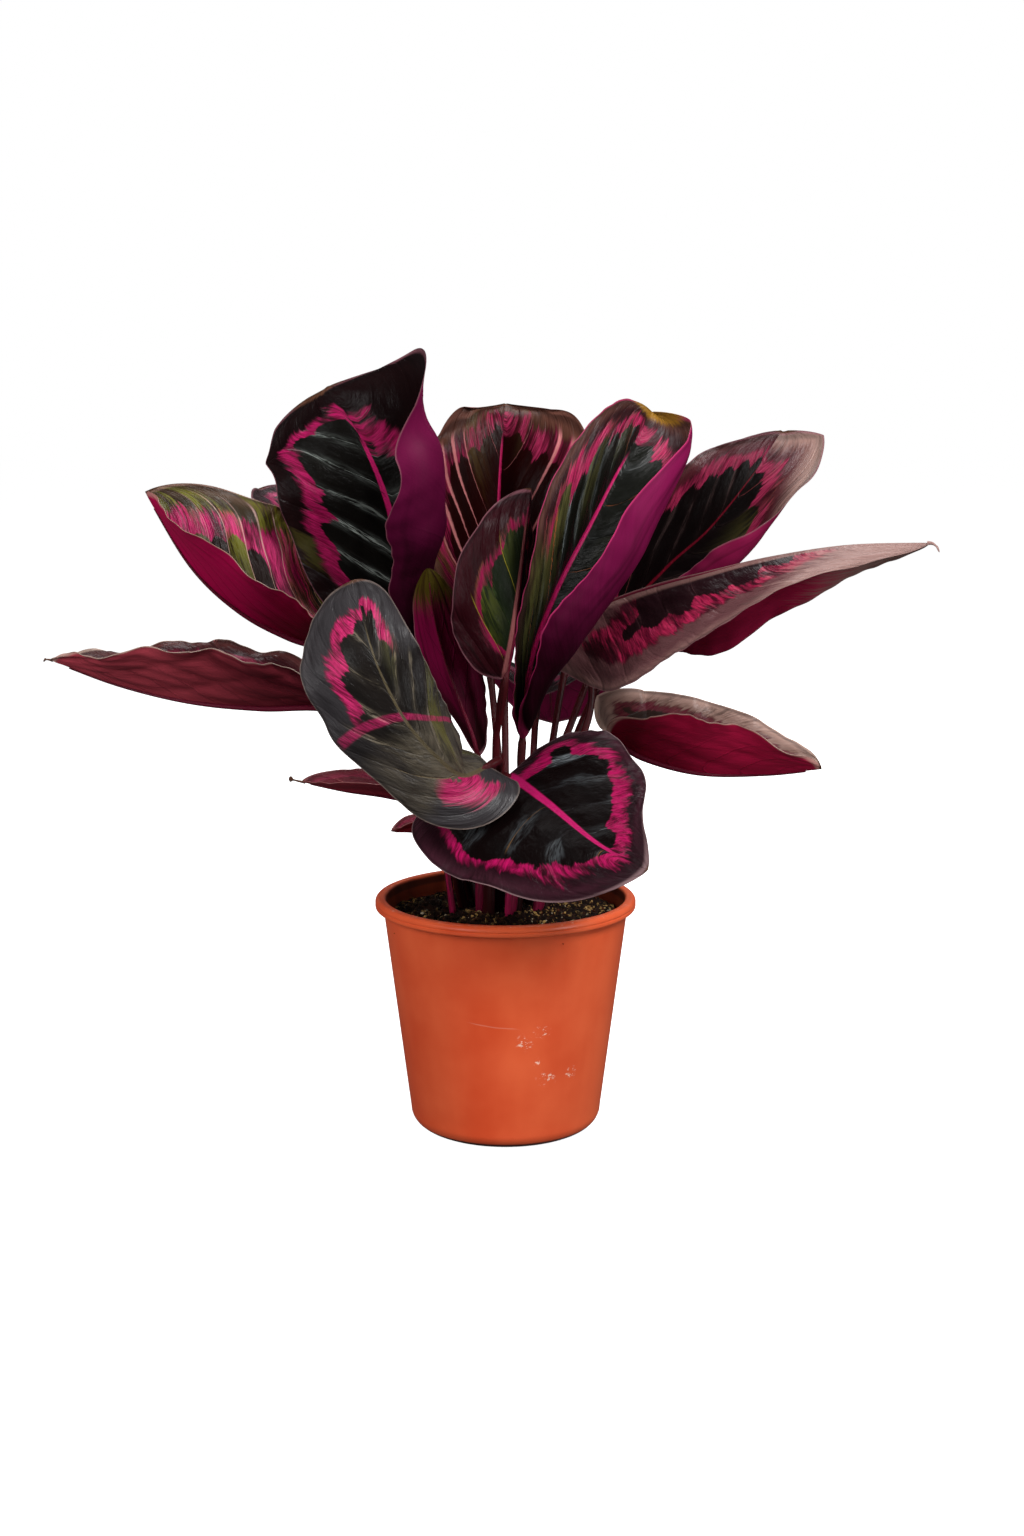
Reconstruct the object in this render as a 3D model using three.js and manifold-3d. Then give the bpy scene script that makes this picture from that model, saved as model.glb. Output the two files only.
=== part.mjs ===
// A potted calathea: a nursery pot, the soil that fills it and twenty leaves. Each leaf is one piece,
// blade and stalk together. Millimetres, +Z up, origin at the centre of the pot's underside.
import * as THREE from "three";
import * as BufferGeometryUtils from "three/addons/utils/BufferGeometryUtils.js";
import Module from "manifold-3d";

const wasm = await Module();
wasm.setup();

// Pot
const potHeight = 126;
const rimRadius = 70;
const rimHeight = 5.8;
const rimRound = 3.4;
const rimChamfer = 0.8;
const lipRound = 1.2;
const shoulderRadius = 65.7;
const footRadius = 51.6;
const footRound = 8.8;
const wall = 1.5;
const potSides = 40;
const holeSides = 12;
const drainHoles = 8;
const drainRadius = 4;
const drainCircle = 34;

// Soil
const soilEdge = 114;
const soilCrown = 6;
const soilRings = 7;
const clumpHeight = 0.9;
const gap = 0.35;

// Leaves
const stalkFoot = 101;
const stalkRadius = 3.2;
const neckRadius = 1.8;
const bladeHalfThickness = 0.4;
const sleeveTop = 127;
const neckPart = 0.06;
const narrowest = 0.7;
const curlSteps = 20;
const fadeShare = 0.4;
const stalkStations = [0, 0.2, 0.4, 0.6, 0.8];
const bladeStations = [0, 0.02, 0.06, 0.12, 0.2, 0.3, 0.4, 0.5, 0.6, 0.7, 0.8, 0.88, 0.94, 0.98, 1];

// Each leaf: foot is its place in the soil, stalk and rib are points along its stalk and midrib, and
// facing is where the upper side looks, from base to tip. Each half of the blade rises by lift degrees
// at the midrib and turns by a further curl degrees towards its margin, most of that late if late is
// high. wide scales the half's width, and sweep moves its margin along the midrib, in mm. Lists run
// evenly from base to tip. full gives the blunt or slender form of the base and the tip, and ripple is
// the margin's wave: height in mm, number and phase.
const leaves = {
  leaf_crown_left: {
    foot: [-9, 1],
    stalk: [[-25, 8, 177], [-36, 14, 228]],
    rib: [[-43, 16, 260], [-54, 6, 306], [-64, -6, 345], [-78, -10, 376], [-92, -5, 394]],
    halfWidth: 58,
    full: [0.5, 0.45],
    facing: [[-0.1, -1, 0.15], [-0.15, -1, 0.1], [-0.25, -1, 0.2]],
    left: {
      lift: [20, 8, 0],
      curl: [10, 5, -10],
      wide: [0.94, 0.94, 0.91, 0.97, 1.5],
      sweep: [0, 0, 0, 8],
    },
    right: {
      lift: [60, 20, 0, 0, 0],
      curl: [170, 232, 235, 180, 0],
      late: 1.5,
      wide: [1, 1.18, 1.42, 1.68, 1.55],
      sweep: [0, 0, 0, -9, -12],
      steps: 4,
    },
    ripple: [2, 3, 0.1],
  },
  leaf_left_up: {
    foot: [-14, 9],
    stalk: [[-34, 12, 176], [-63, 10, 228]],
    rib: [[-85, 6, 255], [-114, 2, 266], [-139, -2, 280], [-163, -4, 303], [-187, 0, 341]],
    halfWidth: 46,
    facing: [[0.6, -0.15, 0.75], [0.7, -0.15, 0.7], [0.6, -0.1, 0.8]],
    left: { lift: [42, 38, 26], curl: [5] },
    right: { lift: [50, 65, 65], wide: [1, 1.25, 1.4] },
    ripple: [2, 3, 0.3],
  },
  leaf_left_low: {
    foot: [-18, 0],
    stalk: [[-34, -4, 163], [-61, -12, 213]],
    rib: [[-89, -18, 231], [-127, -22, 232], [-163, -22, 235], [-200, -20, 243], [-236, -16, 255]],
    halfWidth: 40,
    facing: [[0.1, -0.05, 1]],
    left: { lift: [46, 50, 32] },
    right: { lift: [40, 42, 18], wide: [1.12, 1, 0.95] },
    ripple: [2.5, 4, 0.65],
  },
  leaf_front_left: {
    foot: [-9, -15],
    stalk: [[-8, -22, 155], [-5, -32, 192], [-3, -49, 207]],
    rib: [
      [-8, -64, 208], [-21, -81, 206], [-34, -96, 219], [-46, -105, 235], [-55, -108, 252],
      [-63, -108, 272], [-72, -92, 303],
    ],
    halfWidth: 40,
    full: [0.42, 0.5],
    facing: [[0, -1, 0.3], [-0.1, -1, 0.4], [-0.2, -0.95, 0.3]],
    left: {
      lift: [10, -5, 0],
      curl: [5, -15, -10],
      wide: [0.95, 0.78, 0.72, 0.95, 1.15, 1.3],
      sweep: [-10, -6, 0],
    },
    right: { lift: [-5, -10, -5], curl: [-20, -20, -20], wide: [0.7, 0.5, 0.55, 0.62, 0.62, 0.8] },
    ripple: [1.5, 3, 0],
  },
  leaf_front_round: {
    foot: [1, -16],
    stalk: [[5, -20, 155], [2, -28, 183]],
    rib: [[1, -44, 199], [20, -70, 191], [45, -95, 175], [69, -106, 164]],
    halfWidth: 54,
    full: [0.42, 0.72],
    facing: [[0, -0.75, 0.65], [0, -0.8, 0.6], [0.1, -0.85, 0.5]],
    left: { curl: [-10], sweep: [-14, -4, 0], wide: [1.2, 1, 0.95, 1, 0.75] },
    right: { lift: [5, 5, 0], curl: [-20, -20, -10], sweep: [-34, -12, 0], wide: [1.2, 1.15, 1.08, 0.8] },
    ripple: [2, 3, 0.4],
  },
  leaf_back_centre: {
    foot: [0, 0],
    stalk: [[0, 12, 186]],
    rib: [[-1, 26, 255], [-4, 24, 304], [-3, 20, 346], [-1, 26, 375], [0, 38, 386]],
    halfWidth: 46,
    full: [0.5, 0.42],
    facing: [[0, -1, 0.05]],
    left: { lift: [40, 20, 15], curl: [20, 20, 10], wide: [0.95, 0.93, 1.05], sweep: [0, 0, -15] },
    right: { lift: [40, 25, 15], curl: [20, 20, 10], wide: [1, 1.14, 1.45], sweep: [0, -4, -12] },
    ripple: [2, 4, 0.2],
  },
  leaf_centre_right: {
    foot: [5, -7],
    stalk: [[7, -10, 169]],
    rib: [
      [9, -12, 213], [13, -18, 255], [26, -26, 292], [43, -32, 326], [56, -30, 351],
      [67, -20, 369], [75, -8, 382],
    ],
    halfWidth: 46,
    full: [0.6, 0.5],
    facing: [[-0.05, -1, 0.1]],
    left: { lift: [60, 60, 50, 30], curl: [20, 20, 0, 0], wide: [0.4, 0.65, 0.85, 0.82] },
    right: {
      lift: [30, 10, 0, 0],
      curl: [220, 220, 200, 110],
      late: 1.7,
      wide: [1.2, 1.35, 1.42, 1.55],
      steps: 4,
    },
    ripple: [2, 3, 0.6],
  },
  leaf_centre_folded: {
    foot: [-4, -8],
    stalk: [[-5, -22, 204], [-3, -30, 227]],
    rib: [[0, -40, 248], [4, -45, 270], [7, -46, 294], [10, -41, 321], [13, -32, 344]],
    halfWidth: 36,
    facing: [[0.1, -1, 0.1]],
    left: { lift: [15, 15, 10], curl: [10, 10, 0], wide: [1, 1, 0.85] },
    right: { lift: [-75, -70, -70], wide: [0.25, 0.45, 0.45] },
    ripple: [1.5, 3, 0],
  },
  leaf_right_up: {
    foot: [9, 1],
    stalk: [[22, 10, 176], [36, 18, 218]],
    rib: [[57, 24, 266], [85, 16, 300], [107, 10, 321], [129, 8, 349], [145, 16, 372]],
    halfWidth: 42,
    facing: [[0.1, -0.9, 0.4]],
    left: { lift: [20, 15, 10], curl: [10, 10, 0], wide: [0.8, 0.85, 0.95], sweep: [0, 0, -8] },
    right: {
      lift: [10, 0, 0, 0, 0],
      curl: [200, 200, 205, 75, 0],
      late: 1.8,
      wide: [1, 1.15, 1.25, 0.88, 1.3],
      sweep: [0, 0, 0, 14, 20],
      steps: 4,
    },
    ripple: [2, 4, 0.5],
  },
  leaf_right_long: {
    foot: [14, -8],
    stalk: [[29, -4, 179], [45, 2, 226], [44, 6, 263]],
    rib: [
      [49, 0, 281], [74, -20, 294], [101, -40, 303], [131, -60, 312], [166, -80, 319],
      [201, -100, 321],
    ],
    halfWidth: 46,
    facing: [[-0.3, -0.3, 1], [-0.1, -0.1, 1], [0, -0.1, 1]],
    left: {
      lift: [-60, -70, -65, -50],
      curl: [-10, 0, 0],
      wide: [1, 1.06, 0.8, 0.6],
      sweep: [-20, -20, -16, -8],
    },
    right: {
      lift: [-40, -54, -46, -32, -20],
      curl: [-20, -20, 0, 0, 0],
      sweep: [-58, -46, -34, -24, -8],
      wide: [0.72, 1.2, 1.02, 0.86, 0.8],
    },
    ripple: [0.6, 4, 0.1],
  },
  leaf_right_low: {
    foot: [18, -1],
    stalk: [[30, 14, 164], [45, 26, 199]],
    rib: [[55, 24, 209], [75, 16, 199], [104, 8, 192], [138, 2, 192], [168, -2, 195]],
    halfWidth: 40,
    facing: [[-0.2, -0.15, 0.9], [-0.1, -0.1, 1], [0, -0.1, 1]],
    left: { lift: [40, 50, 40], curl: [20, 20, 0], sweep: [-20, -6, 0] },
    right: { lift: [70, 62, 40] },
    ripple: [2, 3, 0.2],
  },
  leaf_left_small: {
    foot: [-27, 3],
    stalk: [[-33, 5, 148]],
    rib: [[-43, 10, 172], [-62, 10, 178], [-86, 6, 182], [-109, 4, 187]],
    halfWidth: 16,
    facing: [[0.3, -0.05, 1]],
    left: { lift: [35, 35, 25] },
    right: { lift: [40, 40, 30] },
  },
  leaf_left_tiny: {
    foot: [-26, -7],
    stalk: [[-30, -12, 135]],
    rib: [[-33, -15, 156], [-45, -18, 164], [-60, -20, 165]],
    halfWidth: 11,
    facing: [[0.5, -0.05, 1]],
    left: { lift: [50, 50, 35] },
    right: { lift: [50, 50, 35] },
  },
  leaf_young_rolled: {
    foot: [-14, -7],
    stalk: [[-12, -14, 159]],
    rib: [[-14, -22, 205], [-22, -27, 232], [-30, -30, 255], [-36, -33, 280], [-39, -35, 304]],
    halfWidth: 19,
    facing: [[0.2, 1, 0.1]],
    left: { lift: [60, 40, 20], curl: [10] },
    right: { lift: [50, 30, 20], curl: [10] },
  },
  leaf_rear_left: {
    foot: [-5, 8],
    stalk: [[-24, 24, 172], [-38, 38, 226]],
    rib: [[-51, 50, 258], [-79, 72, 295], [-111, 96, 321], [-143, 118, 338]],
    halfWidth: 44,
    facing: [[0.5, -0.5, 0.7], [0.3, -0.4, 0.9]],
    left: { lift: [25, 20] },
    right: { lift: [20, 15] },
    ripple: [2, 3, 0.1],
  },
  leaf_rear_centre: {
    foot: [0, 17],
    stalk: [[-3, 34, 182]],
    rib: [[-10, 56, 252], [-15, 80, 288], [-19, 108, 321], [-24, 142, 348]],
    halfWidth: 46,
    facing: [[0, -0.8, 0.6], [0, -0.6, 0.8]],
    left: { lift: [25, 15] },
    right: { lift: [25, 20] },
    ripple: [2, 3, 0.4],
  },
  leaf_rear_right: {
    foot: [5, 9],
    stalk: [[22, 30, 183]],
    rib: [[38, 52, 258], [70, 84, 294], [106, 112, 320], [141, 140, 338]],
    halfWidth: 44,
    facing: [[-0.2, -0.6, 0.8], [0, -0.5, 0.9]],
    left: { lift: [20, 15] },
    right: { lift: [25, 20] },
    ripple: [2, 3, 0.7],
  },
  leaf_rear_level_left: {
    foot: [-9, 17],
    stalk: [[-26, 40, 171]],
    rib: [[-60, 62, 258], [-88, 92, 276], [-112, 124, 276], [-130, 150, 256]],
    halfWidth: 42,
    facing: [[0.4, -0.3, 1], [0.1, -0.1, 1]],
    left: { lift: [20, 15] },
    right: { lift: [25, 20] },
    ripple: [2, 3, 0.2],
  },
  leaf_rear_level_right: {
    foot: [14, 8],
    stalk: [[26, 20, 170], [44, 34, 220]],
    rib: [[64, 48, 252], [88, 74, 270], [108, 102, 270], [120, 128, 256]],
    halfWidth: 42,
    facing: [[-0.4, -0.2, 1], [0, -0.1, 1]],
    left: { lift: [25, 20] },
    right: { lift: [20, 15] },
    ripple: [2, 3, 0.5],
  },
  leaf_rear_low: {
    foot: [9, 17],
    stalk: [[14, 34, 170], [16, 50, 205]],
    rib: [[18, 68, 224], [22, 96, 232], [26, 126, 220], [28, 150, 196]],
    halfWidth: 44,
    facing: [[0, -0.4, 1], [0, 0, 1]],
    left: { lift: [20, 10] },
    right: { lift: [20, 10] },
    ripple: [2, 3, 0],
  },
};

const flatHalf = { lift: [0], curl: [0], late: 1, wide: [1], sweep: [0], steps: 3 };
const usualFull = [0.5, 0.62];
const stillMargin = [0, 0, 0];

const potPlastic = new THREE.MeshStandardMaterial({ color: 0xc85532, roughness: 0.5, metalness: 0 });
const pottingMix = new THREE.MeshStandardMaterial({ color: 0x3a2418, roughness: 1, metalness: 0 });
const leafFlesh = new THREE.MeshStandardMaterial({ color: 0x4a1630, roughness: 0.42, metalness: 0 });

const object = new THREE.Group();

function addMesh(name, geometry, material) {
  const mesh = new THREE.Mesh(geometry, material);
  mesh.name = name;
  object.add(mesh);
}

// Joined to bare, merged vertices, without the slivers that a pole leaves
function toSolid(geometry) {
  const bare = geometry.clone();
  bare.deleteAttribute("normal");
  bare.deleteAttribute("uv");
  const merged = BufferGeometryUtils.mergeVertices(bare, 1e-4);
  const corners = merged.index.array;
  const triangles = [];
  for (let i = 0; i < corners.length; i += 3) {
    const [a, b, c] = [corners[i], corners[i + 1], corners[i + 2]];
    if (a !== b && b !== c && c !== a) triangles.push(a, b, c);
  }
  return new wasm.Manifold(new wasm.Mesh({
    numProp: 3,
    vertProperties: new Float32Array(merged.attributes.position.array),
    triVerts: new Uint32Array(triangles),
  }));
}

function toGeometry(solid) {
  const mesh = solid.getMesh();
  const geometry = new THREE.BufferGeometry();
  geometry.setAttribute("position", new THREE.BufferAttribute(mesh.vertProperties, 3));
  geometry.setIndex(new THREE.BufferAttribute(mesh.triVerts, 1));
  return geometry;
}

// Closes a row of equal rings into one solid. The lower half of each ring is split along the same
// diagonals as the upper half, so the two faces of a thin blade never cross.
function loft(rings) {
  const count = rings[0].length;
  const last = (rings.length - 1) * count;
  const faces = [];
  for (let i = 0; i < rings.length - 1; i++) {
    for (let k = 0; k < count; k++) {
      const a = i * count + k;
      const b = i * count + ((k + 1) % count);
      const c = b + count;
      const d = a + count;
      if (k < count / 2) faces.push(a, b, c, a, c, d);
      else faces.push(a, b, d, b, c, d);
    }
  }
  for (let k = 0; k < count / 2 - 1; k++) {
    const [a, b, c, d] = [k, k + 1, count - 2 - k, count - 1 - k];
    faces.push(a, c, b, a, d, c);
    faces.push(last + a, last + b, last + c, last + a, last + c, last + d);
  }
  const geometry = new THREE.BufferGeometry().setFromPoints(rings.flat());
  geometry.setIndex(faces);
  return geometry;
}

// Number between evenly spaced values, eased at each of them
function along(values, s) {
  if (values.length === 1) return values[0];
  const x = THREE.MathUtils.clamp(s, 0, 1) * (values.length - 1);
  const i = Math.min(Math.floor(x), values.length - 2);
  return THREE.MathUtils.lerp(values[i], values[i + 1], THREE.MathUtils.smoothstep(x - i, 0, 1));
}

function facingAt(leaf, s) {
  const part = (axis) => along(leaf.facing.map((direction) => direction[axis]), s);
  return new THREE.Vector3(part(0), part(1), part(2));
}

// The part of a direction that is square to the line's own direction
function squareTo(direction, forward) {
  return direction.clone().addScaledVector(forward, -direction.dot(forward)).normalize();
}

// The leaf's line from its foot through the stalk and the midrib, by the share of its length
function leafLine(leaf) {
  const perSpan = 24;
  const points = [[...leaf.foot, stalkFoot], ...leaf.stalk, ...leaf.rib];
  const knots = points.map((p) => new THREE.Vector3(...p));
  const curve = new THREE.CatmullRomCurve3(knots, false, "catmullrom", 0.5);
  curve.arcLengthDivisions = perSpan * (points.length - 1);
  const lengths = curve.getLengths();
  const neck = lengths[perSpan * (points.length - leaf.rib.length)] / lengths.at(-1);
  const frame = (u, up) => {
    const forward = curve.getTangentAt(u);
    const top = squareTo(up, forward);
    return { centre: curve.getPointAt(u), forward, top, right: forward.clone().cross(top) };
  };
  const bladeFrame = (s) => frame(neck + (1 - neck) * s, facingAt(leaf, s));
  const stalkFrames = (stations) => {
    const frames = [];
    let up = bladeFrame(0).top;
    for (const t of [...stations].reverse()) {
      frames.unshift(frame(neck * t, up));
      up = frames[0].top;
    }
    return frames;
  };
  return { bladeFrame, stalkFrames };
}

// Half-width of the blade as a share of its widest
function fullness(s, [base, tip]) {
  const widest = base / (base + tip);
  return (s ** base * (1 - s) ** tip) / (widest ** base * (1 - widest) ** tip);
}

// Point and normal of the blade's middle surface: tau is -1 at the left margin and 1 at the right one
function bladePoint(leaf, frame, s, tau) {
  const side = tau < 0 ? -1 : 1;
  const half = { ...flatHalf, ...(tau < 0 ? leaf.left : leaf.right) };
  const out = Math.abs(tau);
  const share = fullness(s, leaf.full ?? usualFull);
  const halfWidth = Math.max(leaf.halfWidth * share, narrowest) * along(half.wide, s);
  const turn = (u) => THREE.MathUtils.degToRad(along(half.lift, s) + along(half.curl, s) * u ** half.late);
  let across = 0;
  let rise = 0;
  for (let i = 0; i < curlSteps; i++) {
    const angle = turn((out * (i + 0.5)) / curlSteps);
    across += (Math.cos(angle) * out) / curlSteps;
    rise += (Math.sin(angle) * out) / curlSteps;
  }
  const angle = out === 0 ? 0 : turn(out);
  const normal = frame.top.clone().multiplyScalar(Math.cos(angle));
  normal.addScaledVector(frame.right, -side * Math.sin(angle));
  const [height, count, phase] = leaf.ripple ?? stillMargin;
  const fade = Math.min(1, share / fadeShare);
  const wave = height * Math.sin(2 * Math.PI * (count * s + phase)) * out ** 3 * fade;
  const point = frame.centre.clone();
  point.addScaledVector(frame.right, side * across * halfWidth);
  point.addScaledVector(frame.top, rise * halfWidth);
  point.addScaledVector(frame.forward, along(half.sweep, s) * out ** 1.5 * fade);
  point.addScaledVector(normal, wave);
  return { point, normal };
}

function acrossSteps(leaf) {
  const steps = (half) => half?.steps ?? flatHalf.steps;
  const taus = [0];
  for (let k = 1; k <= steps(leaf.left); k++) taus.unshift(-k / steps(leaf.left));
  for (let k = 1; k <= steps(leaf.right); k++) taus.push(k / steps(leaf.right));
  return taus;
}

// A round ring with a point for each point of the blade's ring
function roundRing(frame, taus, radius) {
  const widest = THREE.MathUtils.degToRad(80);
  const place = (tau, side) => frame.centre.clone()
    .addScaledVector(frame.right, radius * Math.sin(tau * widest))
    .addScaledVector(frame.top, side * radius * Math.cos(tau * widest));
  return [...taus.map((tau) => place(tau, 1)), ...[...taus].reverse().map((tau) => place(tau, -1))];
}

function bladeRing(leaf, frame, taus, s) {
  const offset = (tau, side) => {
    const { point, normal } = bladePoint(leaf, frame, s, tau);
    return point.addScaledVector(normal, side * bladeHalfThickness);
  };
  return [...taus.map((tau) => offset(tau, 1)), ...[...taus].reverse().map((tau) => offset(tau, -1))];
}

function leafGeometry(leaf) {
  const line = leafLine(leaf);
  const taus = acrossSteps(leaf);
  const rings = line.stalkFrames(stalkStations).map((frame, i) => {
    return roundRing(frame, taus, THREE.MathUtils.lerp(stalkRadius, neckRadius, stalkStations[i]));
  });
  for (const s of bladeStations) {
    const frame = line.bladeFrame(s);
    const neckRing = roundRing(frame, taus, neckRadius);
    const flat = bladeRing(leaf, frame, taus, s);
    const share = THREE.MathUtils.smoothstep(s, 0, neckPart);
    rings.push(neckRing.map((point, k) => point.lerp(flat[k], share)));
  }
  return loft(rings);
}

// The hole that a stalk stands in: straight, a little wider and deeper than the stalk
function sleeve(leaf) {
  const stations = Array.from({ length: 40 }, (_, i) => i / 40);
  const frames = leafLine(leaf).stalkFrames(stations);
  const ends = [frames[0], frames.find((frame) => frame.centre.z > sleeveTop)];
  ends[0].centre.addScaledVector(ends[0].forward, -gap);
  const taus = [-1, -0.5, 0, 0.5, 1];
  return toSolid(loft(ends.map((frame) => roundRing(frame, taus, stalkRadius + 2 * gap))));
}

function turned(profile) {
  return new THREE.LatheGeometry(profile, potSides).rotateX(Math.PI / 2);
}

function roundCorner(centreX, centreZ, radius, from, to, steps) {
  return Array.from({ length: steps + 1 }, (_, i) => {
    const angle = THREE.MathUtils.degToRad(from + ((to - from) * i) / steps);
    return new THREE.Vector2(centreX + radius * Math.cos(angle), centreZ + radius * Math.sin(angle));
  });
}

// Radius of the pot's outside at a height on its sloping wall
function outside(z) {
  const share = (z - footRound) / (potHeight - rimHeight - footRound);
  return footRadius + (shoulderRadius - footRadius) * share;
}

function potGeometry() {
  const underRim = potHeight - rimHeight;
  const lip = shoulderRadius - wall;
  const corner = footRadius - footRound;
  const profile = [
    new THREE.Vector2(0, 0),
    ...roundCorner(corner, footRound, footRound, -90, 0, 4),
    new THREE.Vector2(shoulderRadius, underRim),
    new THREE.Vector2(rimRadius - rimChamfer, underRim),
    new THREE.Vector2(rimRadius, underRim + rimChamfer),
    ...roundCorner(rimRadius - rimRound, potHeight - rimRound, rimRound, 0, 90, 4),
    ...roundCorner(lip + lipRound, potHeight - lipRound, lipRound, 90, 180, 2),
    new THREE.Vector2(lip, underRim),
    ...roundCorner(corner, footRound, footRound - wall, 0, -90, 4),
    new THREE.Vector2(0, wall),
  ];
  let solid = toSolid(turned(profile));
  for (let i = 0; i < drainHoles; i++) {
    const angle = (2 * Math.PI * (i + 0.5)) / drainHoles;
    const hole = new THREE.CylinderGeometry(drainRadius, drainRadius, 4 * wall, holeSides);
    hole.rotateX(Math.PI / 2);
    hole.translate(drainCircle * Math.cos(angle), drainCircle * Math.sin(angle), wall / 2);
    solid = solid.subtract(toSolid(hole));
  }
  return toGeometry(solid);
}

// Height of the soil's face: a low crown with clumps that a few crossing waves make
function soilHeight(x, y) {
  const share = Math.hypot(x, y) / outside(soilEdge);
  const clumps = Math.sin(0.31 * x + 1.3) * Math.sin(0.37 * y) + Math.sin(0.83 * x - 0.5 * y) * 0.6;
  return soilEdge + soilCrown * (1 - share ** 2) + clumpHeight * clumps;
}

function soilGeometry() {
  const inset = wall + gap;
  const corner = footRadius - footRound;
  const edge = outside(soilEdge) - inset;
  const profile = [
    new THREE.Vector2(0, inset),
    ...roundCorner(corner, footRound, footRound - inset, -90, 0, 3),
    new THREE.Vector2(edge, soilEdge),
  ];
  for (let ring = soilRings - 1; ring >= 0; ring--) {
    profile.push(new THREE.Vector2((edge * ring) / soilRings, soilEdge));
  }
  const body = turned(profile);
  const places = body.attributes.position;
  for (let i = 0; i < places.count; i++) {
    const [x, y, z] = [places.getX(i), places.getY(i), places.getZ(i)];
    if (z > soilEdge - 1) places.setZ(i, soilHeight(x, y));
  }
  let solid = toSolid(body);
  for (const leaf of Object.values(leaves)) solid = solid.subtract(sleeve(leaf));
  return toGeometry(solid);
}

addMesh("pot", potGeometry(), potPlastic);
addMesh("soil", soilGeometry(), pottingMix);
for (const [name, leaf] of Object.entries(leaves)) addMesh(name, leafGeometry(leaf), leafFlesh);

export default object;
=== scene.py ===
# Potted calathea: patterned leaves, pot and potting mix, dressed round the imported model. Metres, +Z up
import math
import bpy
import numpy as np
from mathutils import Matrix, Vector


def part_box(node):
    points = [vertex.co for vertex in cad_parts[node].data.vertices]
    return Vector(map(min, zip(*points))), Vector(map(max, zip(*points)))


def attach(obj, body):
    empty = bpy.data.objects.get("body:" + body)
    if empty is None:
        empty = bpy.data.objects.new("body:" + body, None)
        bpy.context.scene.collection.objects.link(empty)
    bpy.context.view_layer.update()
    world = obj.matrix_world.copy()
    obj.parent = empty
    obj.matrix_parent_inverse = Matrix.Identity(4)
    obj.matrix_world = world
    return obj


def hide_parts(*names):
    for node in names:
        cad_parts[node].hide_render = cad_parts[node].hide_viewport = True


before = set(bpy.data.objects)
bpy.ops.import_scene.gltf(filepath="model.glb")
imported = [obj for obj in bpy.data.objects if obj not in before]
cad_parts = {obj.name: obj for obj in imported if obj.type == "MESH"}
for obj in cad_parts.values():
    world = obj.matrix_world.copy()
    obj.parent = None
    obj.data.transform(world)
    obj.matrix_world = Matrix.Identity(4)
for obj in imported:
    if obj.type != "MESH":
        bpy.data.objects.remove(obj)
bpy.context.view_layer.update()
mm = 0.001
fullTurn = 2 * math.pi
print("frame loaded:", len(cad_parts), "nodes")


def addObject(name, data):
    thing = bpy.data.objects.new(name, data)
    bpy.context.scene.collection.objects.link(thing)
    return thing


# Camera at the photograph's angle, just above the middle of the foliage
cameraSet = {"place": (0.0035, -1.05, 0.383), "downTilt": 10.14, "lens": 46.97}


def makeCamera():
    camera = addObject("camera", bpy.data.cameras.new("camera"))
    camera.data.lens = cameraSet["lens"]
    camera.location = cameraSet["place"]
    camera.rotation_euler = (math.radians(90 - cameraSet["downTilt"]), 0, 0)
    bpy.context.scene.camera = camera


makeCamera()


# Node helpers
def paint(red, green, blue):
    # a colour as it looks on screen, 0 to 255, to the linear values that nodes take
    linear = [((c / 255 + 0.055) / 1.055) ** 2.4 if c > 10 else c / 3295 for c in (red, green, blue)]
    return (*linear, 1)


def feed(tree, node, inputs):
    # each input, by its name or number, takes another node's output or a fixed value
    for key, value in inputs.items():
        if isinstance(value, Wire):
            value = value.socket
        if isinstance(value, bpy.types.NodeSocket):
            tree.links.new(value, node.inputs[key])
        else:
            node.inputs[key].default_value = value


def addNode(tree, kind, inputs=None, **settings):
    node = tree.nodes.new(kind)
    for name, value in settings.items():
        setattr(node, name, value)
    feed(tree, node, inputs or {})
    return node


class Wire:
    # a node's output that can be used in sums
    def __init__(self, tree, socket):
        self.tree = tree
        self.socket = socket

    def calc(self, operation, *others):
        inputs = dict(enumerate((self, *others)))
        return Wire(self.tree, addNode(self.tree, "ShaderNodeMath", inputs, operation=operation).outputs[0])

    def __add__(self, other):
        return self.calc("ADD", other)

    def __sub__(self, other):
        return self.calc("SUBTRACT", other)

    def __mul__(self, other):
        return self.calc("MULTIPLY", other)

    def __truediv__(self, other):
        return self.calc("DIVIDE", other)

    def __neg__(self):
        return self * -1

    def __rsub__(self, other):
        return -self + other

    __radd__ = __add__
    __rmul__ = __mul__

    def size(self):
        return self.calc("ABSOLUTE")

    def rise(self, low, high, to=1.0):
        # 0 below low, "to" above high, eased between them
        inputs = {"Value": self, "From Min": low, "From Max": high, "To Max": to}
        node = addNode(self.tree, "ShaderNodeMapRange", inputs, interpolation_type="SMOOTHSTEP")
        return Wire(self.tree, node.outputs["Result"])


def split(tree, vector):
    return [Wire(tree, socket) for socket in addNode(tree, "ShaderNodeSeparateXYZ", {0: vector}).outputs]


def pack(tree, x, y, z):
    return addNode(tree, "ShaderNodeCombineXYZ", {0: x, 1: y, 2: z}).outputs[0]


def readPlace(tree, name):
    return split(tree, addNode(tree, "ShaderNodeAttribute", attribute_name=name).outputs["Vector"])


def objectPlace(tree):
    return addNode(tree, "ShaderNodeTexCoord").outputs["Object"]


def grain(tree, vector, scale, detail=2.0, roughness=0.5):
    # noise round zero, from about -0.5 to 0.5
    inputs = {"Vector": vector, "Scale": scale, "Detail": detail, "Roughness": roughness}
    return Wire(tree, addNode(tree, "ShaderNodeTexNoise", inputs).outputs["Fac"]) - 0.5


def grainAt(x, y, z, detail=2.0, roughness=0.5):
    # the same, at a place that is given in grains
    return grain(x.tree, pack(x.tree, x, y, z), 1, detail, roughness)


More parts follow.
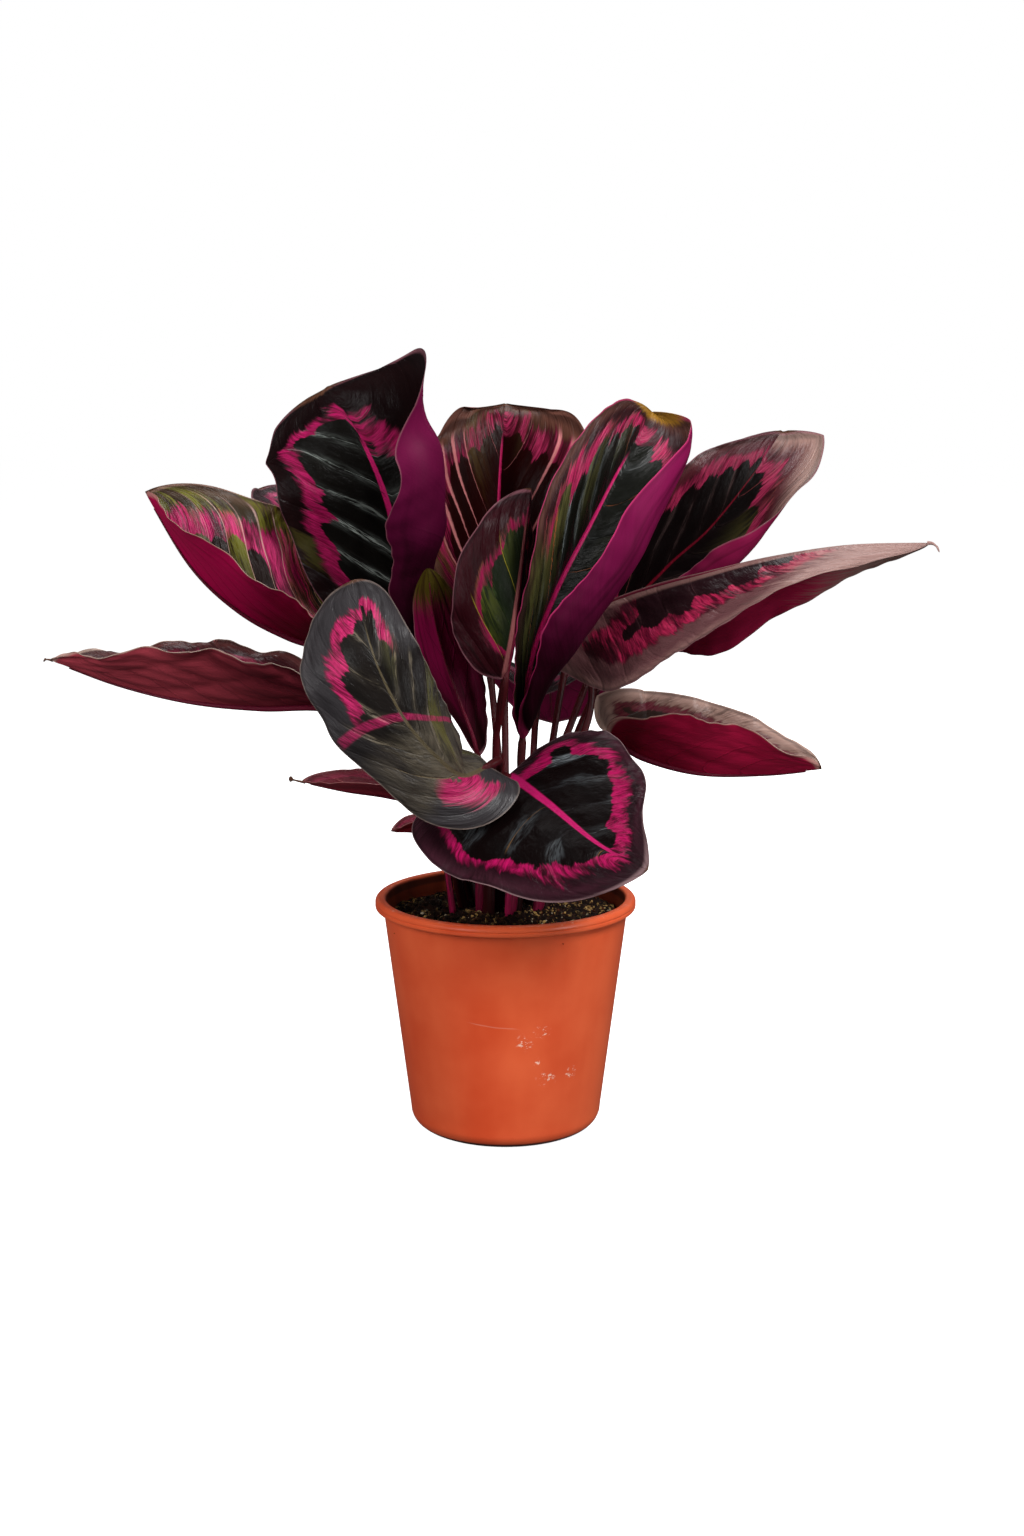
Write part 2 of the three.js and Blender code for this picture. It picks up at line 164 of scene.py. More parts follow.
def chance(number):
    # an even draw from 0 to 1 for each whole number
    node = addNode(number.tree, "ShaderNodeTexWhiteNoise", {"W": number}, noise_dimensions="1D")
    return Wire(number.tree, node.outputs["Value"])


def layer(colour, *coats):
    # each coat is the share that it covers and its colour
    for share, coat in coats:
        inputs = {0: share, 6: colour, 7: coat}
        colour = addNode(share.tree, "ShaderNodeMix", inputs, data_type="RGBA").outputs[2]
    return colour


def newFinish(name):
    material = bpy.data.materials.new(name)
    material.use_nodes = True
    return material, material.node_tree


def setShader(tree, colour, roughness, height, depth, specular=0.5):
    # the specular level is the same all over, so it goes straight on the shader
    bump = addNode(tree, "ShaderNodeBump", {"Height": height, "Distance": depth})
    inputs = {"Base Color": colour, "Roughness": roughness, "Normal": bump.outputs[0]}
    feed(tree, tree.nodes["Principled BSDF"], {**inputs, "Specular IOR Level": specular})


def newGroup(name, kind, inputs, outputs):
    # node group whose inputs and outputs are given by name and kind; returns its two end nodes too
    tree = bpy.data.node_groups.new(name, kind)
    for way, sockets in (("INPUT", inputs), ("OUTPUT", outputs)):
        for label, socket in sockets.items():
            tree.interface.new_socket(label, in_out=way, socket_type="NodeSocket" + socket)
    return tree, tree.nodes.new("NodeGroupInput").outputs, tree.nodes.new("NodeGroupOutput")


# Mesh helpers
def newPiece(name, points, faces, finishes, faceFinish=None, sharp=None):
    # points in mm
    mesh = bpy.data.meshes.new(name)
    mesh.from_pydata((np.asarray(points) * mm).tolist(), [], faces)
    for finish in finishes:
        mesh.materials.append(finish)
    if faceFinish is not None:
        mesh.polygons.foreach_set("material_index", np.asarray(faceFinish, np.int32))
    mesh.shade_smooth()
    if sharp is not None:
        mesh.set_sharp_from_angle(angle=math.radians(sharp))
    return addObject(name, mesh)


def keep(piece, node=None):
    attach(piece, "root")
    if node is not None:
        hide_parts(node)
    return piece


def applyModifiers(piece):
    # the evaluated shape becomes the piece's own plain mesh
    graph = bpy.context.evaluated_depsgraph_get()
    shaped = bpy.data.meshes.new_from_object(piece.evaluated_get(graph))
    piece.modifiers.clear()
    piece.data = shaped


def arc(centreX, centreZ, radius, start, stop, steps):
    turns = [math.radians(start + (stop - start) * i / steps) for i in range(steps + 1)]
    return [(centreX + radius * math.cos(t), centreZ + radius * math.sin(t)) for t in turns]


def turned(profile, sides):
    # rings round the upright axis, with one point where the profile meets it
    points = []
    rings = []
    for x, z in profile:
        count = sides if x else 1
        rings.append(list(range(len(points), len(points) + count)))
        turns = [fullTurn * k / sides for k in range(count)]
        points += [(x * math.cos(turn), x * math.sin(turn), z) for turn in turns]
    faces = []
    for low, high in zip(rings, rings[1:]):
        for k in range(sides):
            n = (k + 1) % sides
            bottom = [low[k], low[n]] if len(low) > 1 else low
            faces.append(bottom + ([high[n], high[k]] if len(high) > 1 else high))
    return points, faces


# Pot, in mm
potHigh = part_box("pot")[1] / mm
potSet = {
    "height": potHigh.z,
    "rimRadius": potHigh.x,
    "rimHeight": 5.8,
    "rimRound": 2.6,
    "underRound": 1.1,
    "neckRound": 1.4,
    "lipRound": 1.6,
    "shoulder": 65.7,
    "foot": 51.6,
    "footRound": 8.8,
    "footRing": [(4, 0.9), (2.5, 0.1)],
    "wall": 1.5,
    "seamShare": 0.42,
    "seamDepth": 0.35,
    "seamStep": 0.1,
    "drainHoles": 8,
    "drainRadius": 4,
    "drainCircle": 34,
    "drainSides": 24,
    "sides": 160,
}


def potOutside(z):
    share = (z - potSet["footRound"]) / (potSet["height"] - potSet["rimHeight"] - potSet["footRound"])
    return potSet["foot"] + (potSet["shoulder"] - potSet["foot"]) * share


def potProfile():
    top = potSet["height"]
    under = top - potSet["rimHeight"]
    rim = potSet["rimRadius"]
    rimRound = potSet["rimRound"]
    low = potSet["underRound"]
    neck = potSet["neckRound"]
    lipRound = potSet["lipRound"]
    wall = potSet["wall"]
    foot = potSet["footRound"]
    corner = potSet["foot"] - foot
    lip = potSet["shoulder"] - wall
    seam = under + potSet["seamShare"] * potSet["rimHeight"]
    depth = potSet["seamDepth"]
    return [
        (0, potSet["footRing"][0][1]),
        *[(corner - inward, z) for inward, z in potSet["footRing"]],
        *arc(corner, foot, foot, -90, 0, 12),
        *[(potOutside(z), z) for z in np.linspace(foot, under - neck, 22)[1:]],
        *arc(potOutside(under - neck) + neck, under - neck, neck, 180, 90, 4)[1:],
        *arc(rim - low, under + low, low, -90, 0, 5),
        (rim, seam - depth),
        (rim - depth, seam),
        (rim - potSet["seamStep"], seam + depth),
        *arc(rim - rimRound, top - rimRound, rimRound, 2, 90, 9),
        *arc(lip + lipRound, top - lipRound, lipRound, 90, 180, 7),
        *[(potOutside(z) - wall, z) for z in np.linspace(under, foot, 12)[:-1]],
        *arc(corner, foot, foot - wall, 0, -90, 8),
        (0, wall),
    ]


potColours = {
    "deep": paint(208, 73, 36),
    "light": paint(229, 100, 58),
    "worn": paint(248, 206, 184),
    # the inner wall's dark tone: damp stain and painted shade
    "stain": paint(40, 13, 8),
}
# the places of its wear, and of the stain and painted shade inside, in metres; the inner wall's radius is a
# foot and a slope upwards
potWear = {
    "scratchHeight": 0.0696,
    "scratchSlope": 0.12,
    "scratchMiddle": -0.006,
    "scratchReach": 0.017,
    "scratch": 0.26,
    "chips": 0.75,
    "rimFrom": 0.1245,
    "rimTo": 0.1262,
    "stainShadeTo": 0.1242,
    "innerFoot": 0.0494,
    "innerSlope": 0.1266,
}
# clusters of chips on the front wall: middle and half size across and up, in metres
potMarks = [
    (0.0099, 0.0615, 0.0055, 0.006),
    (0.0188, 0.067, 0.006, 0.0045),
    (0.0163, 0.0495, 0.0022, 0.004),
    (0.0213, 0.04, 0.007, 0.005),
    (0.0345, 0.041, 0.004, 0.005),
]


def potFinish():
    finish, tree = newFinish("terracottaPlastic")
    spot = objectPlace(tree)
    x, y, z = split(tree, spot)
    front = (-y).rise(0.02, 0.03)
    # faint flow of the moulded plastic, long up the wall
    flow = grainAt(x * 26, y * 26, z * 5, 3)
    cloud = grain(tree, spot, 34, 3)
    tone = (flow * 0.9 + cloud * 0.6 + 0.5).rise(0.15, 0.85)
    # rubbed patches where pots were stacked, a scratch, chips, and small nicks along the rim
    patch = grain(tree, spot, 16, 2).rise(0.12, 0.3)
    scuff = (patch * grainAt(x * 500, y * 500, z * 260, 4, 0.7).rise(0.12, 0.2)).rise(0, 1, 0.5)
    line = z + x * potWear["scratchSlope"] - potWear["scratchHeight"] + grain(tree, spot, 60, 1) * 0.002
    ends = (x - potWear["scratchMiddle"]).size().rise(potWear["scratchReach"], 0.008)
    scratch = line.size().rise(0.00055, 0.0001) * ends * front * potWear["scratch"]
    rubbed = 0.0
    for middle, height, halfWidth, halfHeight in potMarks:
        across = (x - middle) / halfWidth
        upward = (z - height) / halfHeight
        rubbed = rubbed + (across * across + upward * upward).rise(1.0, 0.1)
    chips = grainAt(x * 330, y * 330, z * 560, 4, 0.7).rise(0.03, 0.12) * rubbed * front * potWear["chips"]
    nicks = z.rise(potWear["rimFrom"], potWear["rimTo"]) * grain(tree, spot, 420, 3, 0.7).rise(0.05, 0.2)
    pale = (scuff * 0.35 + scratch + chips + nicks * 0.55).rise(0, 1)
    # damp stain and painted shade on the inner wall above the soil, darker both as dirt and as the shade
    # inside the pot
    radius = (x * x + y * y).calc("SQRT")
    inside = (z * potWear["innerSlope"] + potWear["innerFoot"] - radius).rise(0.0, 0.0006)
    stain = inside * (z + cloud * 0.003).rise(potWear["rimTo"], potWear["stainShadeTo"]) * 0.92
    coats = (tone, potColours["light"]), (pale, potColours["worn"]), (stain, potColours["stain"])
    fine = grain(tree, spot, 900, 2) * 0.25 + cloud * 0.6 - pale * 0.5
    colour = layer(potColours["deep"], *coats)
    setShader(tree, colour, 0.34 + cloud * 0.16 + pale * 0.25, fine, 0.12 * mm)
    return finish


def makePot():
    points, faces = turned(potProfile(), potSet["sides"])
    pot = newPiece("nurseryPot", points, faces, [potFinish()])
    radius = potSet["drainRadius"]
    outline = [(0, -radius), (radius, -radius), (radius, radius), (0, radius)]
    drill, drillFaces = turned(outline, potSet["drainSides"])
    for i in range(potSet["drainHoles"]):
        turn = fullTurn * (i + 0.5) / potSet["drainHoles"]
        spot = np.array([math.cos(turn), math.sin(turn), 0]) * potSet["drainCircle"]
        cutter = newPiece("cutter", np.array(drill) + spot, drillFaces, [])
        cut = pot.modifiers.new("drain", "BOOLEAN")
        cut.object = cutter
        cut.operation = "DIFFERENCE"
        cut.solver = "EXACT"
        applyModifiers(pot)
        bpy.data.objects.remove(cutter)
    pot.data.set_sharp_from_angle(angle=math.radians(40))
    keep(pot, "pot")


makePot()
print("pot turned and drilled")


# Potting mix, in mm
soilSet = {
    "edge": 114,
    "crown": 6,
    "clump": 0.9,
    "inset": 1.85,
    "rings": 34,
    "sides": 120,
    "lump": 1.3,
    "lumpWaves": 26,
    "lumpPace": (0.5, 1.9),
    "lumpHeight": 0.16,
    "edgeFade": 0.08,
    "seed": 7,
}


def soilHeight(x, y):
    # the model's height, with finer lumps on it
    share = np.hypot(x, y) / potOutside(soilSet["edge"])
    clumps = np.sin(0.31 * x + 1.3) * np.sin(0.37 * y) + np.sin(0.83 * x - 0.5 * y) * 0.6
    draw = np.random.default_rng(soilSet["seed"])
    lumps = np.zeros_like(x)
    for i in range(soilSet["lumpWaves"]):
        turn = draw.uniform(0, fullTurn)
        pace = draw.uniform(*soilSet["lumpPace"])
        wave = np.sin(pace * (x * math.cos(turn) + y * math.sin(turn)) + draw.uniform(0, 6.3))
        lumps += wave * soilSet["lumpHeight"] / pace ** 0.5
    fade = np.clip((1 - share) / soilSet["edgeFade"], 0, 1)
    low = soilSet["edge"] + soilSet["crown"] * (1 - share ** 2) + soilSet["clump"] * clumps
    return low + soilSet["lump"] * lumps * fade


def soilFinish():
    finish, tree = newFinish("darkPottingMix")
    spot = objectPlace(tree)
    coarse = grain(tree, spot, 260, 4, 0.65)
    fine = grain(tree, spot, 1300, 3, 0.7)
    coats = (coarse.rise(-0.2, 0.25), paint(40, 20, 13)), (fine.rise(0.16, 0.26, 0.5), paint(110, 74, 40))
    setShader(tree, layer(paint(10, 5, 4), *coats), 0.92, coarse + fine * 0.6, 1.2 * mm, 0.15)
    return finish


def crumbFinish(name, tones):
    # each crumb takes its own tone, from dark to light
    finish, tree = newFinish(name)
    tone = addNode(tree, "ShaderNodeAttribute", attribute_name="tone").outputs["Fac"]
    ramp = addNode(tree, "ShaderNodeValToRGB", {0: tone})
    ramp.color_ramp.interpolation = "CONSTANT"
    stops = ramp.color_ramp.elements
    for i, (share, colour) in enumerate(tones):
        stop = stops[i] if i < 2 else stops.new(share)
        stop.position = share
        stop.color = paint(*colour)
    spot = objectPlace(tree)
    rough = grain(tree, spot, 900, 3, 0.7)
    cluster = grain(tree, spot, 45, 2).rise(0.12, -0.06)
    dark = (rough.rise(-0.3, 0.3, 0.5) + cluster * 0.62).rise(0, 1)
    setShader(tree, layer(ramp.outputs[0], (dark, paint(16, 8, 6))), 0.85, rough, 0.6 * mm, 0.15)
    return finish


# from which share of the crumbs each colour is taken
crumbTones = [
    (0.0, (26, 16, 11)),
    (0.42, (48, 29, 19)),
    (0.62, (86, 46, 26)),
    (0.74, (150, 118, 70)),
    (0.9, (176, 140, 84)),
    (0.97, (205, 190, 160)),
]
fibreTones = [(0.0, (70, 40, 24)), (0.35, (134, 92, 50)), (0.6, (176, 138, 82)), (0.85, (206, 178, 124))]


def scatterTree(name, makeGrain):
    # grains spread over the upward faces, each turned, sized and toned by chance
    kinds = {"Geometry": "Geometry", "Density": "Float", "Smallest": "Vector", "Largest": "Vector",
             "Tilt": "Float", "Seed": "Int", "Finish": "Material"}
    tree, given, out = newGroup(name, "GeometryNodeTree", kinds, {"Geometry": "Geometry"})

    def step(kind, inputs, result=0, **settings):
        return addNode(tree, kind, inputs, **settings).outputs[result]

    def drawn(low, high):
        inputs = {0: low, 1: high, "Seed": given["Seed"]}
        return step("FunctionNodeRandomValue", inputs, data_type="FLOAT_VECTOR")

    up = split(tree, step("GeometryNodeInputNormal", {}))[2]
    facing = step("FunctionNodeCompare", {0: up, 1: 0.3}, operation="GREATER_THAN")
    bed = {"Mesh": given["Geometry"], "Selection": facing}
    chances = {"Density": given["Density"], "Seed": given["Seed"]}
    spots = step("GeometryNodeDistributePointsOnFaces", {**bed, **chances}, "Points")
    tilt = Wire(tree, given["Tilt"])
    turn = drawn(pack(tree, -tilt, -tilt, 0), pack(tree, tilt, tilt, fullTurn))
    size = drawn(given["Smallest"], given["Largest"])
    grains = {"Points": spots, "Instance": makeGrain(tree), "Rotation": turn, "Scale": size}
    placed = step("GeometryNodeInstanceOnPoints", grains)
    tone = step("FunctionNodeRandomValue", {"Seed": given["Seed"]}, 1, data_type="FLOAT")
    tones = {"Geometry": placed, "Name": "tone", "Value": tone}
    toned = step("GeometryNodeStoreNamedAttribute", tones, data_type="FLOAT", domain="INSTANCE")
    real = step("GeometryNodeRealizeInstances", {0: toned})
    done = step("GeometryNodeSetMaterial", {"Geometry": real, "Material": given["Finish"]})
    feed(tree, out, {0: done})
    return tree


def crumbShape(tree):
    # a broken lump of 20 faces, about 1 across
    ball = addNode(tree, "GeometryNodeMeshIcoSphere", {"Radius": 0.5, "Subdivisions": 1}).outputs[0]
    chip = {0: (-0.13, -0.13, -0.13), 1: (0.13, 0.13, 0.13)}
    moved = addNode(tree, "FunctionNodeRandomValue", chip, data_type="FLOAT_VECTOR").outputs[0]
    return addNode(tree, "GeometryNodeSetPosition", {"Geometry": ball, "Offset": moved}).outputs[0]


def fibreShape(tree):
    # a bent strand about 1 long
    bend = {"Resolution": 6, "Start": (-0.5, 0, 0), "Middle": (0.1, 0.25, 0.35), "End": (0.5, 0, -0.05)}
    strand = addNode(tree, "GeometryNodeCurveQuadraticBezier", bend).outputs[0]
    ring = addNode(tree, "GeometryNodeCurvePrimitiveCircle", {"Resolution": 4, "Radius": 0.035}).outputs[0]
    inputs = {"Curve": strand, "Profile Curve": ring, "Fill Caps": True}
    return addNode(tree, "GeometryNodeCurveToMesh", inputs).outputs[0]


def scatter(name, bed, tree, values):
    piece = addObject(name, bed.data.copy())
    step = piece.modifiers.new("scatter", "NODES")
    step.node_group = tree
    for socket in tree.interface.items_tree:
        if socket.in_out == "INPUT" and socket.name in values:
            step[socket.identifier] = values[socket.name]
    applyModifiers(piece)
    keep(piece)


# grains to a square metre, their sizes in metres, and the most that they tilt
scatterSets = {
    "soilCrumbs": {"Density": 140000.0, "Smallest": (0.0012, 0.0012, 0.0008),
                   "Largest": (0.0034, 0.003, 0.0024), "Tilt": 1.2, "Seed": 3},
    "soilGrit": {"Density": 160000.0, "Smallest": (0.0006, 0.0006, 0.0005),
                 "Largest": (0.0013, 0.0012, 0.001), "Tilt": 1.5, "Seed": 11},
    "soilFibres": {"Density": 16000.0, "Smallest": (0.003, 0.004, 0.002),
                   "Largest": (0.011, 0.009, 0.006), "Tilt": 0.5, "Seed": 19},
}


def makeSoil():
    inset = soilSet["inset"]
    edge = potOutside(soilSet["edge"]) - inset
    rings = soilSet["rings"]
    footRound = potSet["footRound"]
    foot = arc(potSet["foot"] - footRound, footRound, footRound - inset, -90, 0, 6)
    surface = [(edge * ring / rings, soilSet["edge"]) for ring in range(rings, -1, -1)]
    points, faces = turned([(0, inset), *foot, *surface], soilSet["sides"])
    points = np.array(points, float)
    top = points[:, 2] > soilSet["edge"] - 1
    points[top, 2] = soilHeight(points[top, 0], points[top, 1])
    bed = keep(newPiece("soilBed", points, faces, [soilFinish()], sharp=50), "soil")
    crumbs = scatterTree("crumbScatter", crumbShape), crumbFinish("crumbTones", crumbTones)
    fibres = scatterTree("fibreScatter", fibreShape), crumbFinish("fibreTones", fibreTones)
    for name, values in scatterSets.items():
        tree, finish = fibres if name == "soilFibres" else crumbs
        scatter(name, bed, tree, {**values, "Finish": finish})


makeSoil()
print("potting mix strewn")


# Leaves: the same forms as in the model, in mm
leaves = dict(
    leaf_crown_left=dict(
        foot=[-9, 1], stalk=[[-25, 8, 177], [-36, 14, 228]],
        rib=[[-43, 16, 260], [-54, 6, 306], [-64, -6, 345], [-78, -10, 376], [-92, -5, 394]],
        halfWidth=58, full=[0.5, 0.45], facing=[[-0.1, -1, 0.15], [-0.15, -1, 0.1], [-0.25, -1, 0.2]],
        left=dict(
            lift=[20, 8, 0], curl=[10, 5, -10], wide=[0.94, 0.94, 0.91, 0.97, 1.5], sweep=[0, 0, 0, 8],
        ),
        right=dict(
            lift=[60, 20, 0, 0, 0], curl=[170, 232, 235, 180, 0], late=1.5,
            wide=[1, 1.18, 1.42, 1.68, 1.55], sweep=[0, 0, 0, -9, -12],
        ),
        ripple=[2, 3, 0.1], crease=0.6, shine=0.11,
    ),
    leaf_left_up=dict(
        foot=[-14, 9], stalk=[[-34, 12, 176], [-63, 10, 228]],
        rib=[[-85, 6, 255], [-114, 2, 266], [-139, -2, 280], [-163, -4, 303], [-187, 0, 341]],
        halfWidth=46, facing=[[0.6, -0.15, 0.75], [0.7, -0.15, 0.7], [0.6, -0.1, 0.8]],
        left=dict(lift=[42, 38, 26], curl=[5]), right=dict(lift=[50, 65, 65], wide=[1, 1.25, 1.4]),
        ripple=[2, 3, 0.3], veinLean=0.75,
    ),
    leaf_left_low=dict(
        foot=[-18, 0], stalk=[[-34, -4, 163], [-61, -12, 213]],
        rib=[[-89, -18, 231], [-127, -22, 232], [-163, -22, 235], [-200, -20, 243], [-236, -16, 255]],
        halfWidth=40, facing=[[0.1, -0.05, 1]], left=dict(lift=[46, 50, 32]),
        right=dict(lift=[40, 42, 18], wide=[1.12, 1, 0.95]), ripple=[2.5, 4, 0.65], crease=2.4,
        driedEnd=dict(length=4, drop=1.5, radius=0.7, knob=0.9),
    ),
    leaf_front_left=dict(
        foot=[-9, -15], stalk=[[-8, -22, 155], [-5, -32, 192], [-3, -49, 207]],
        rib=[
            [-8, -64, 208], [-21, -81, 206], [-34, -96, 219], [-46, -105, 235], [-55, -108, 252],
            [-63, -108, 272], [-72, -92, 303],
        ],
        halfWidth=40, full=[0.42, 0.5], facing=[[0, -1, 0.3], [-0.1, -1, 0.4], [-0.2, -0.95, 0.3]],
        left=dict(
            lift=[10, -5, 0], curl=[5, -15, -10], wide=[0.95, 0.78, 0.72, 0.95, 1.15, 1.3],
            sweep=[-10, -6, 0],
        ),
        right=dict(lift=[-5, -10, -5], curl=[-20, -20, -20], wide=[0.7, 0.5, 0.55, 0.62, 0.62, 0.8]),
        ripple=[1.5, 3, 0],
    ),
    leaf_front_round=dict(
        foot=[1, -16], stalk=[[5, -20, 155], [2, -28, 183]],
        rib=[[1, -44, 199], [20, -70, 191], [45, -95, 175], [69, -106, 164]], halfWidth=54,
        full=[0.42, 0.72], facing=[[0, -0.75, 0.65], [0, -0.8, 0.6], [0.1, -0.85, 0.5]],
        left=dict(curl=[-10], sweep=[-14, -4, 0], wide=[1.2, 1, 0.95, 1, 0.75]),
        right=dict(
            lift=[5, 5, 0], curl=[-20, -20, -10], sweep=[-34, -12, 0], wide=[1.2, 1.15, 1.08, 0.8],
        ),
        ripple=[2, 3, 0.4], veinLean=0.3, shine=0.1, pinkSheath=1.0,
    ),
    leaf_back_centre=dict(
        foot=[0, 0], stalk=[[0, 12, 186]],
        rib=[[-1, 26, 255], [-4, 24, 304], [-3, 20, 346], [-1, 26, 375], [0, 38, 386]], halfWidth=46,
        full=[0.5, 0.42], facing=[[0, -1, 0.05]],
        left=dict(lift=[40, 20, 15], curl=[20, 20, 10], wide=[0.95, 0.93, 1.05], sweep=[0, 0, -15]),
        right=dict(lift=[40, 25, 15], curl=[20, 20, 10], wide=[1, 1.14, 1.45], sweep=[0, -4, -12]),
        ripple=[2, 4, 0.2], veinLean=0.75, shine=0.12,
    ),
    leaf_centre_right=dict(
        foot=[5, -7], stalk=[[7, -10, 169]],
        rib=[
            [9, -12, 213], [13, -18, 255], [26, -26, 292], [43, -32, 326], [56, -30, 351], [67, -20, 369],
            [75, -8, 382],
        ],
        halfWidth=46, full=[0.6, 0.5], facing=[[-0.05, -1, 0.1]],
        left=dict(lift=[60, 60, 50, 30], curl=[20, 20, 0, 0], wide=[0.4, 0.65, 0.85, 0.82]),
        right=dict(
            lift=[30, 10, 0, 0], curl=[220, 220, 200, 110], late=1.7, wide=[1.2, 1.35, 1.42, 1.55],
        ),
        ripple=[2, 3, 0.6], veinLean=0.45,
    ),
    leaf_centre_folded=dict(
        foot=[-4, -8], stalk=[[-5, -22, 204], [-3, -30, 227]],
        rib=[[0, -40, 248], [4, -45, 270], [7, -46, 294], [10, -41, 321], [13, -32, 344]], halfWidth=36,
        facing=[[0.1, -1, 0.1]], left=dict(lift=[15, 15, 10], curl=[10, 10, 0], wide=[1, 1, 0.85]),
        right=dict(lift=[-75, -70, -70], wide=[0.25, 0.45, 0.45]), ripple=[1.5, 3, 0], veinLean=0.55,
        shine=0.08,
    ),
    leaf_right_up=dict(
        foot=[9, 1], stalk=[[22, 10, 176], [36, 18, 218]],
        rib=[[57, 24, 266], [85, 16, 300], [107, 10, 321], [129, 8, 349], [145, 16, 372]], halfWidth=42,
        facing=[[0.1, -0.9, 0.4]],
        left=dict(lift=[20, 15, 10], curl=[10, 10, 0], wide=[0.8, 0.85, 0.95], sweep=[0, 0, -8]),
        right=dict(
            lift=[10, 0, 0, 0, 0], curl=[200, 200, 205, 75, 0], late=1.8, wide=[1, 1.15, 1.25, 0.88, 1.3],
            sweep=[0, 0, 0, 14, 20],
        ),
        ripple=[2, 4, 0.5], veinLean=0.6,
    ),
    leaf_right_long=dict(
        foot=[14, -8], stalk=[[29, -4, 179], [45, 2, 226], [44, 6, 263]],
        rib=[
            [49, 0, 281], [74, -20, 294], [101, -40, 303], [131, -60, 312], [166, -80, 319],
            [201, -100, 321],
        ],
        halfWidth=46, facing=[[-0.3, -0.3, 1], [-0.1, -0.1, 1], [0, -0.1, 1]],
        left=dict(
            lift=[-60, -70, -65, -50], curl=[-10, 0, 0], wide=[1, 1.06, 0.8, 0.6],
            sweep=[-20, -20, -16, -8],
        ),
        right=dict(
            lift=[-40, -54, -46, -32, -20], curl=[-20, -20, 0, 0, 0], sweep=[-58, -46, -34, -24, -8],
            wide=[0.72, 1.2, 1.02, 0.86, 0.8],
        ),
        ripple=[0.6, 4, 0.1], crease=0.7, pinkSheath=0.8,
        driedEnd=dict(length=4.5, drop=4, radius=1.0, knob=0.6),
    ),
    leaf_right_low=dict(
        foot=[18, -1], stalk=[[30, 14, 164], [45, 26, 199]],
        rib=[[55, 24, 209], [75, 16, 199], [104, 8, 192], [138, 2, 192], [168, -2, 195]], halfWidth=40,
        facing=[[-0.2, -0.15, 0.9], [-0.1, -0.1, 1], [0, -0.1, 1]],
        left=dict(lift=[40, 50, 40], curl=[20, 20, 0], sweep=[-20, -6, 0]), right=dict(lift=[70, 62, 40]),
        ripple=[2, 3, 0.2], crease=0.8,
    ),
    leaf_left_small=dict(
        foot=[-27, 3], stalk=[[-33, 5, 148]],
        rib=[[-43, 10, 172], [-62, 10, 178], [-86, 6, 182], [-109, 4, 187]], halfWidth=16,
        facing=[[0.3, -0.05, 1]], left=dict(lift=[35, 35, 25]), right=dict(lift=[40, 40, 30]),
        driedEnd=dict(length=7, drop=-0.5, radius=0.8, knob=1.5),
    ),
    leaf_left_tiny=dict(
        foot=[-26, -7], stalk=[[-30, -12, 135]], rib=[[-33, -15, 156], [-45, -18, 164], [-60, -20, 165]],
        halfWidth=11, facing=[[0.5, -0.05, 1]], left=dict(lift=[50, 50, 35]),
        right=dict(lift=[50, 50, 35]), pinkSheath=0.9,
    ),
    leaf_young_rolled=dict(
        foot=[-14, -7], stalk=[[-12, -14, 159]],
        rib=[[-14, -22, 205], [-22, -27, 232], [-30, -30, 255], [-36, -33, 280], [-39, -35, 304]],
        halfWidth=19, facing=[[0.2, 1, 0.1]], left=dict(lift=[60, 40, 20], curl=[10]),
        right=dict(lift=[50, 30, 20], curl=[10]), pinkSheath=0.4,
    ),
    leaf_rear_left=dict(
        foot=[-5, 8], stalk=[[-24, 24, 172], [-38, 38, 226]],
        rib=[[-51, 50, 258], [-79, 72, 295], [-111, 96, 321], [-143, 118, 338]], halfWidth=44,
        facing=[[0.5, -0.5, 0.7], [0.3, -0.4, 0.9]], left=dict(lift=[25, 20]), right=dict(lift=[20, 15]),
        ripple=[2, 3, 0.1],
    ),
    leaf_rear_centre=dict(
        foot=[0, 17], stalk=[[-3, 34, 182]],
        rib=[[-10, 56, 252], [-15, 80, 288], [-19, 108, 321], [-24, 142, 348]], halfWidth=46,
        facing=[[0, -0.8, 0.6], [0, -0.6, 0.8]], left=dict(lift=[25, 15]), right=dict(lift=[25, 20]),
        ripple=[2, 3, 0.4],
    ),
    leaf_rear_right=dict(
        foot=[5, 9], stalk=[[22, 30, 183]],
        rib=[[38, 52, 258], [70, 84, 294], [106, 112, 320], [141, 140, 338]], halfWidth=44,
        facing=[[-0.2, -0.6, 0.8], [0, -0.5, 0.9]], left=dict(lift=[20, 15]), right=dict(lift=[25, 20]),
        ripple=[2, 3, 0.7],
    ),
    leaf_rear_level_left=dict(
        foot=[-9, 17], stalk=[[-26, 40, 171]],
        rib=[[-60, 62, 258], [-88, 92, 276], [-112, 124, 276], [-130, 150, 256]], halfWidth=42,
        facing=[[0.4, -0.3, 1], [0.1, -0.1, 1]], left=dict(lift=[20, 15]), right=dict(lift=[25, 20]),
        ripple=[2, 3, 0.2],
    ),
    leaf_rear_level_right=dict(
        foot=[14, 8], stalk=[[26, 20, 170], [44, 34, 220]],
        rib=[[64, 48, 252], [88, 74, 270], [108, 102, 270], [120, 128, 256]], halfWidth=42,
        facing=[[-0.4, -0.2, 1], [0, -0.1, 1]], left=dict(lift=[25, 20]), right=dict(lift=[20, 15]),
        ripple=[2, 3, 0.5],
    ),
    leaf_rear_low=dict(
        foot=[9, 17], stalk=[[14, 34, 170], [16, 50, 205]],
        rib=[[18, 68, 224], [22, 96, 232], [26, 126, 220], [28, 150, 196]], halfWidth=44,
        facing=[[0, -0.4, 1], [0, 0, 1]], left=dict(lift=[20, 10]), right=dict(lift=[20, 10]),
        ripple=[2, 3, 0],
    ),
)


usualHalf = {"lift": [0], "curl": [0], "late": 1, "wide": [1], "sweep": [0]}
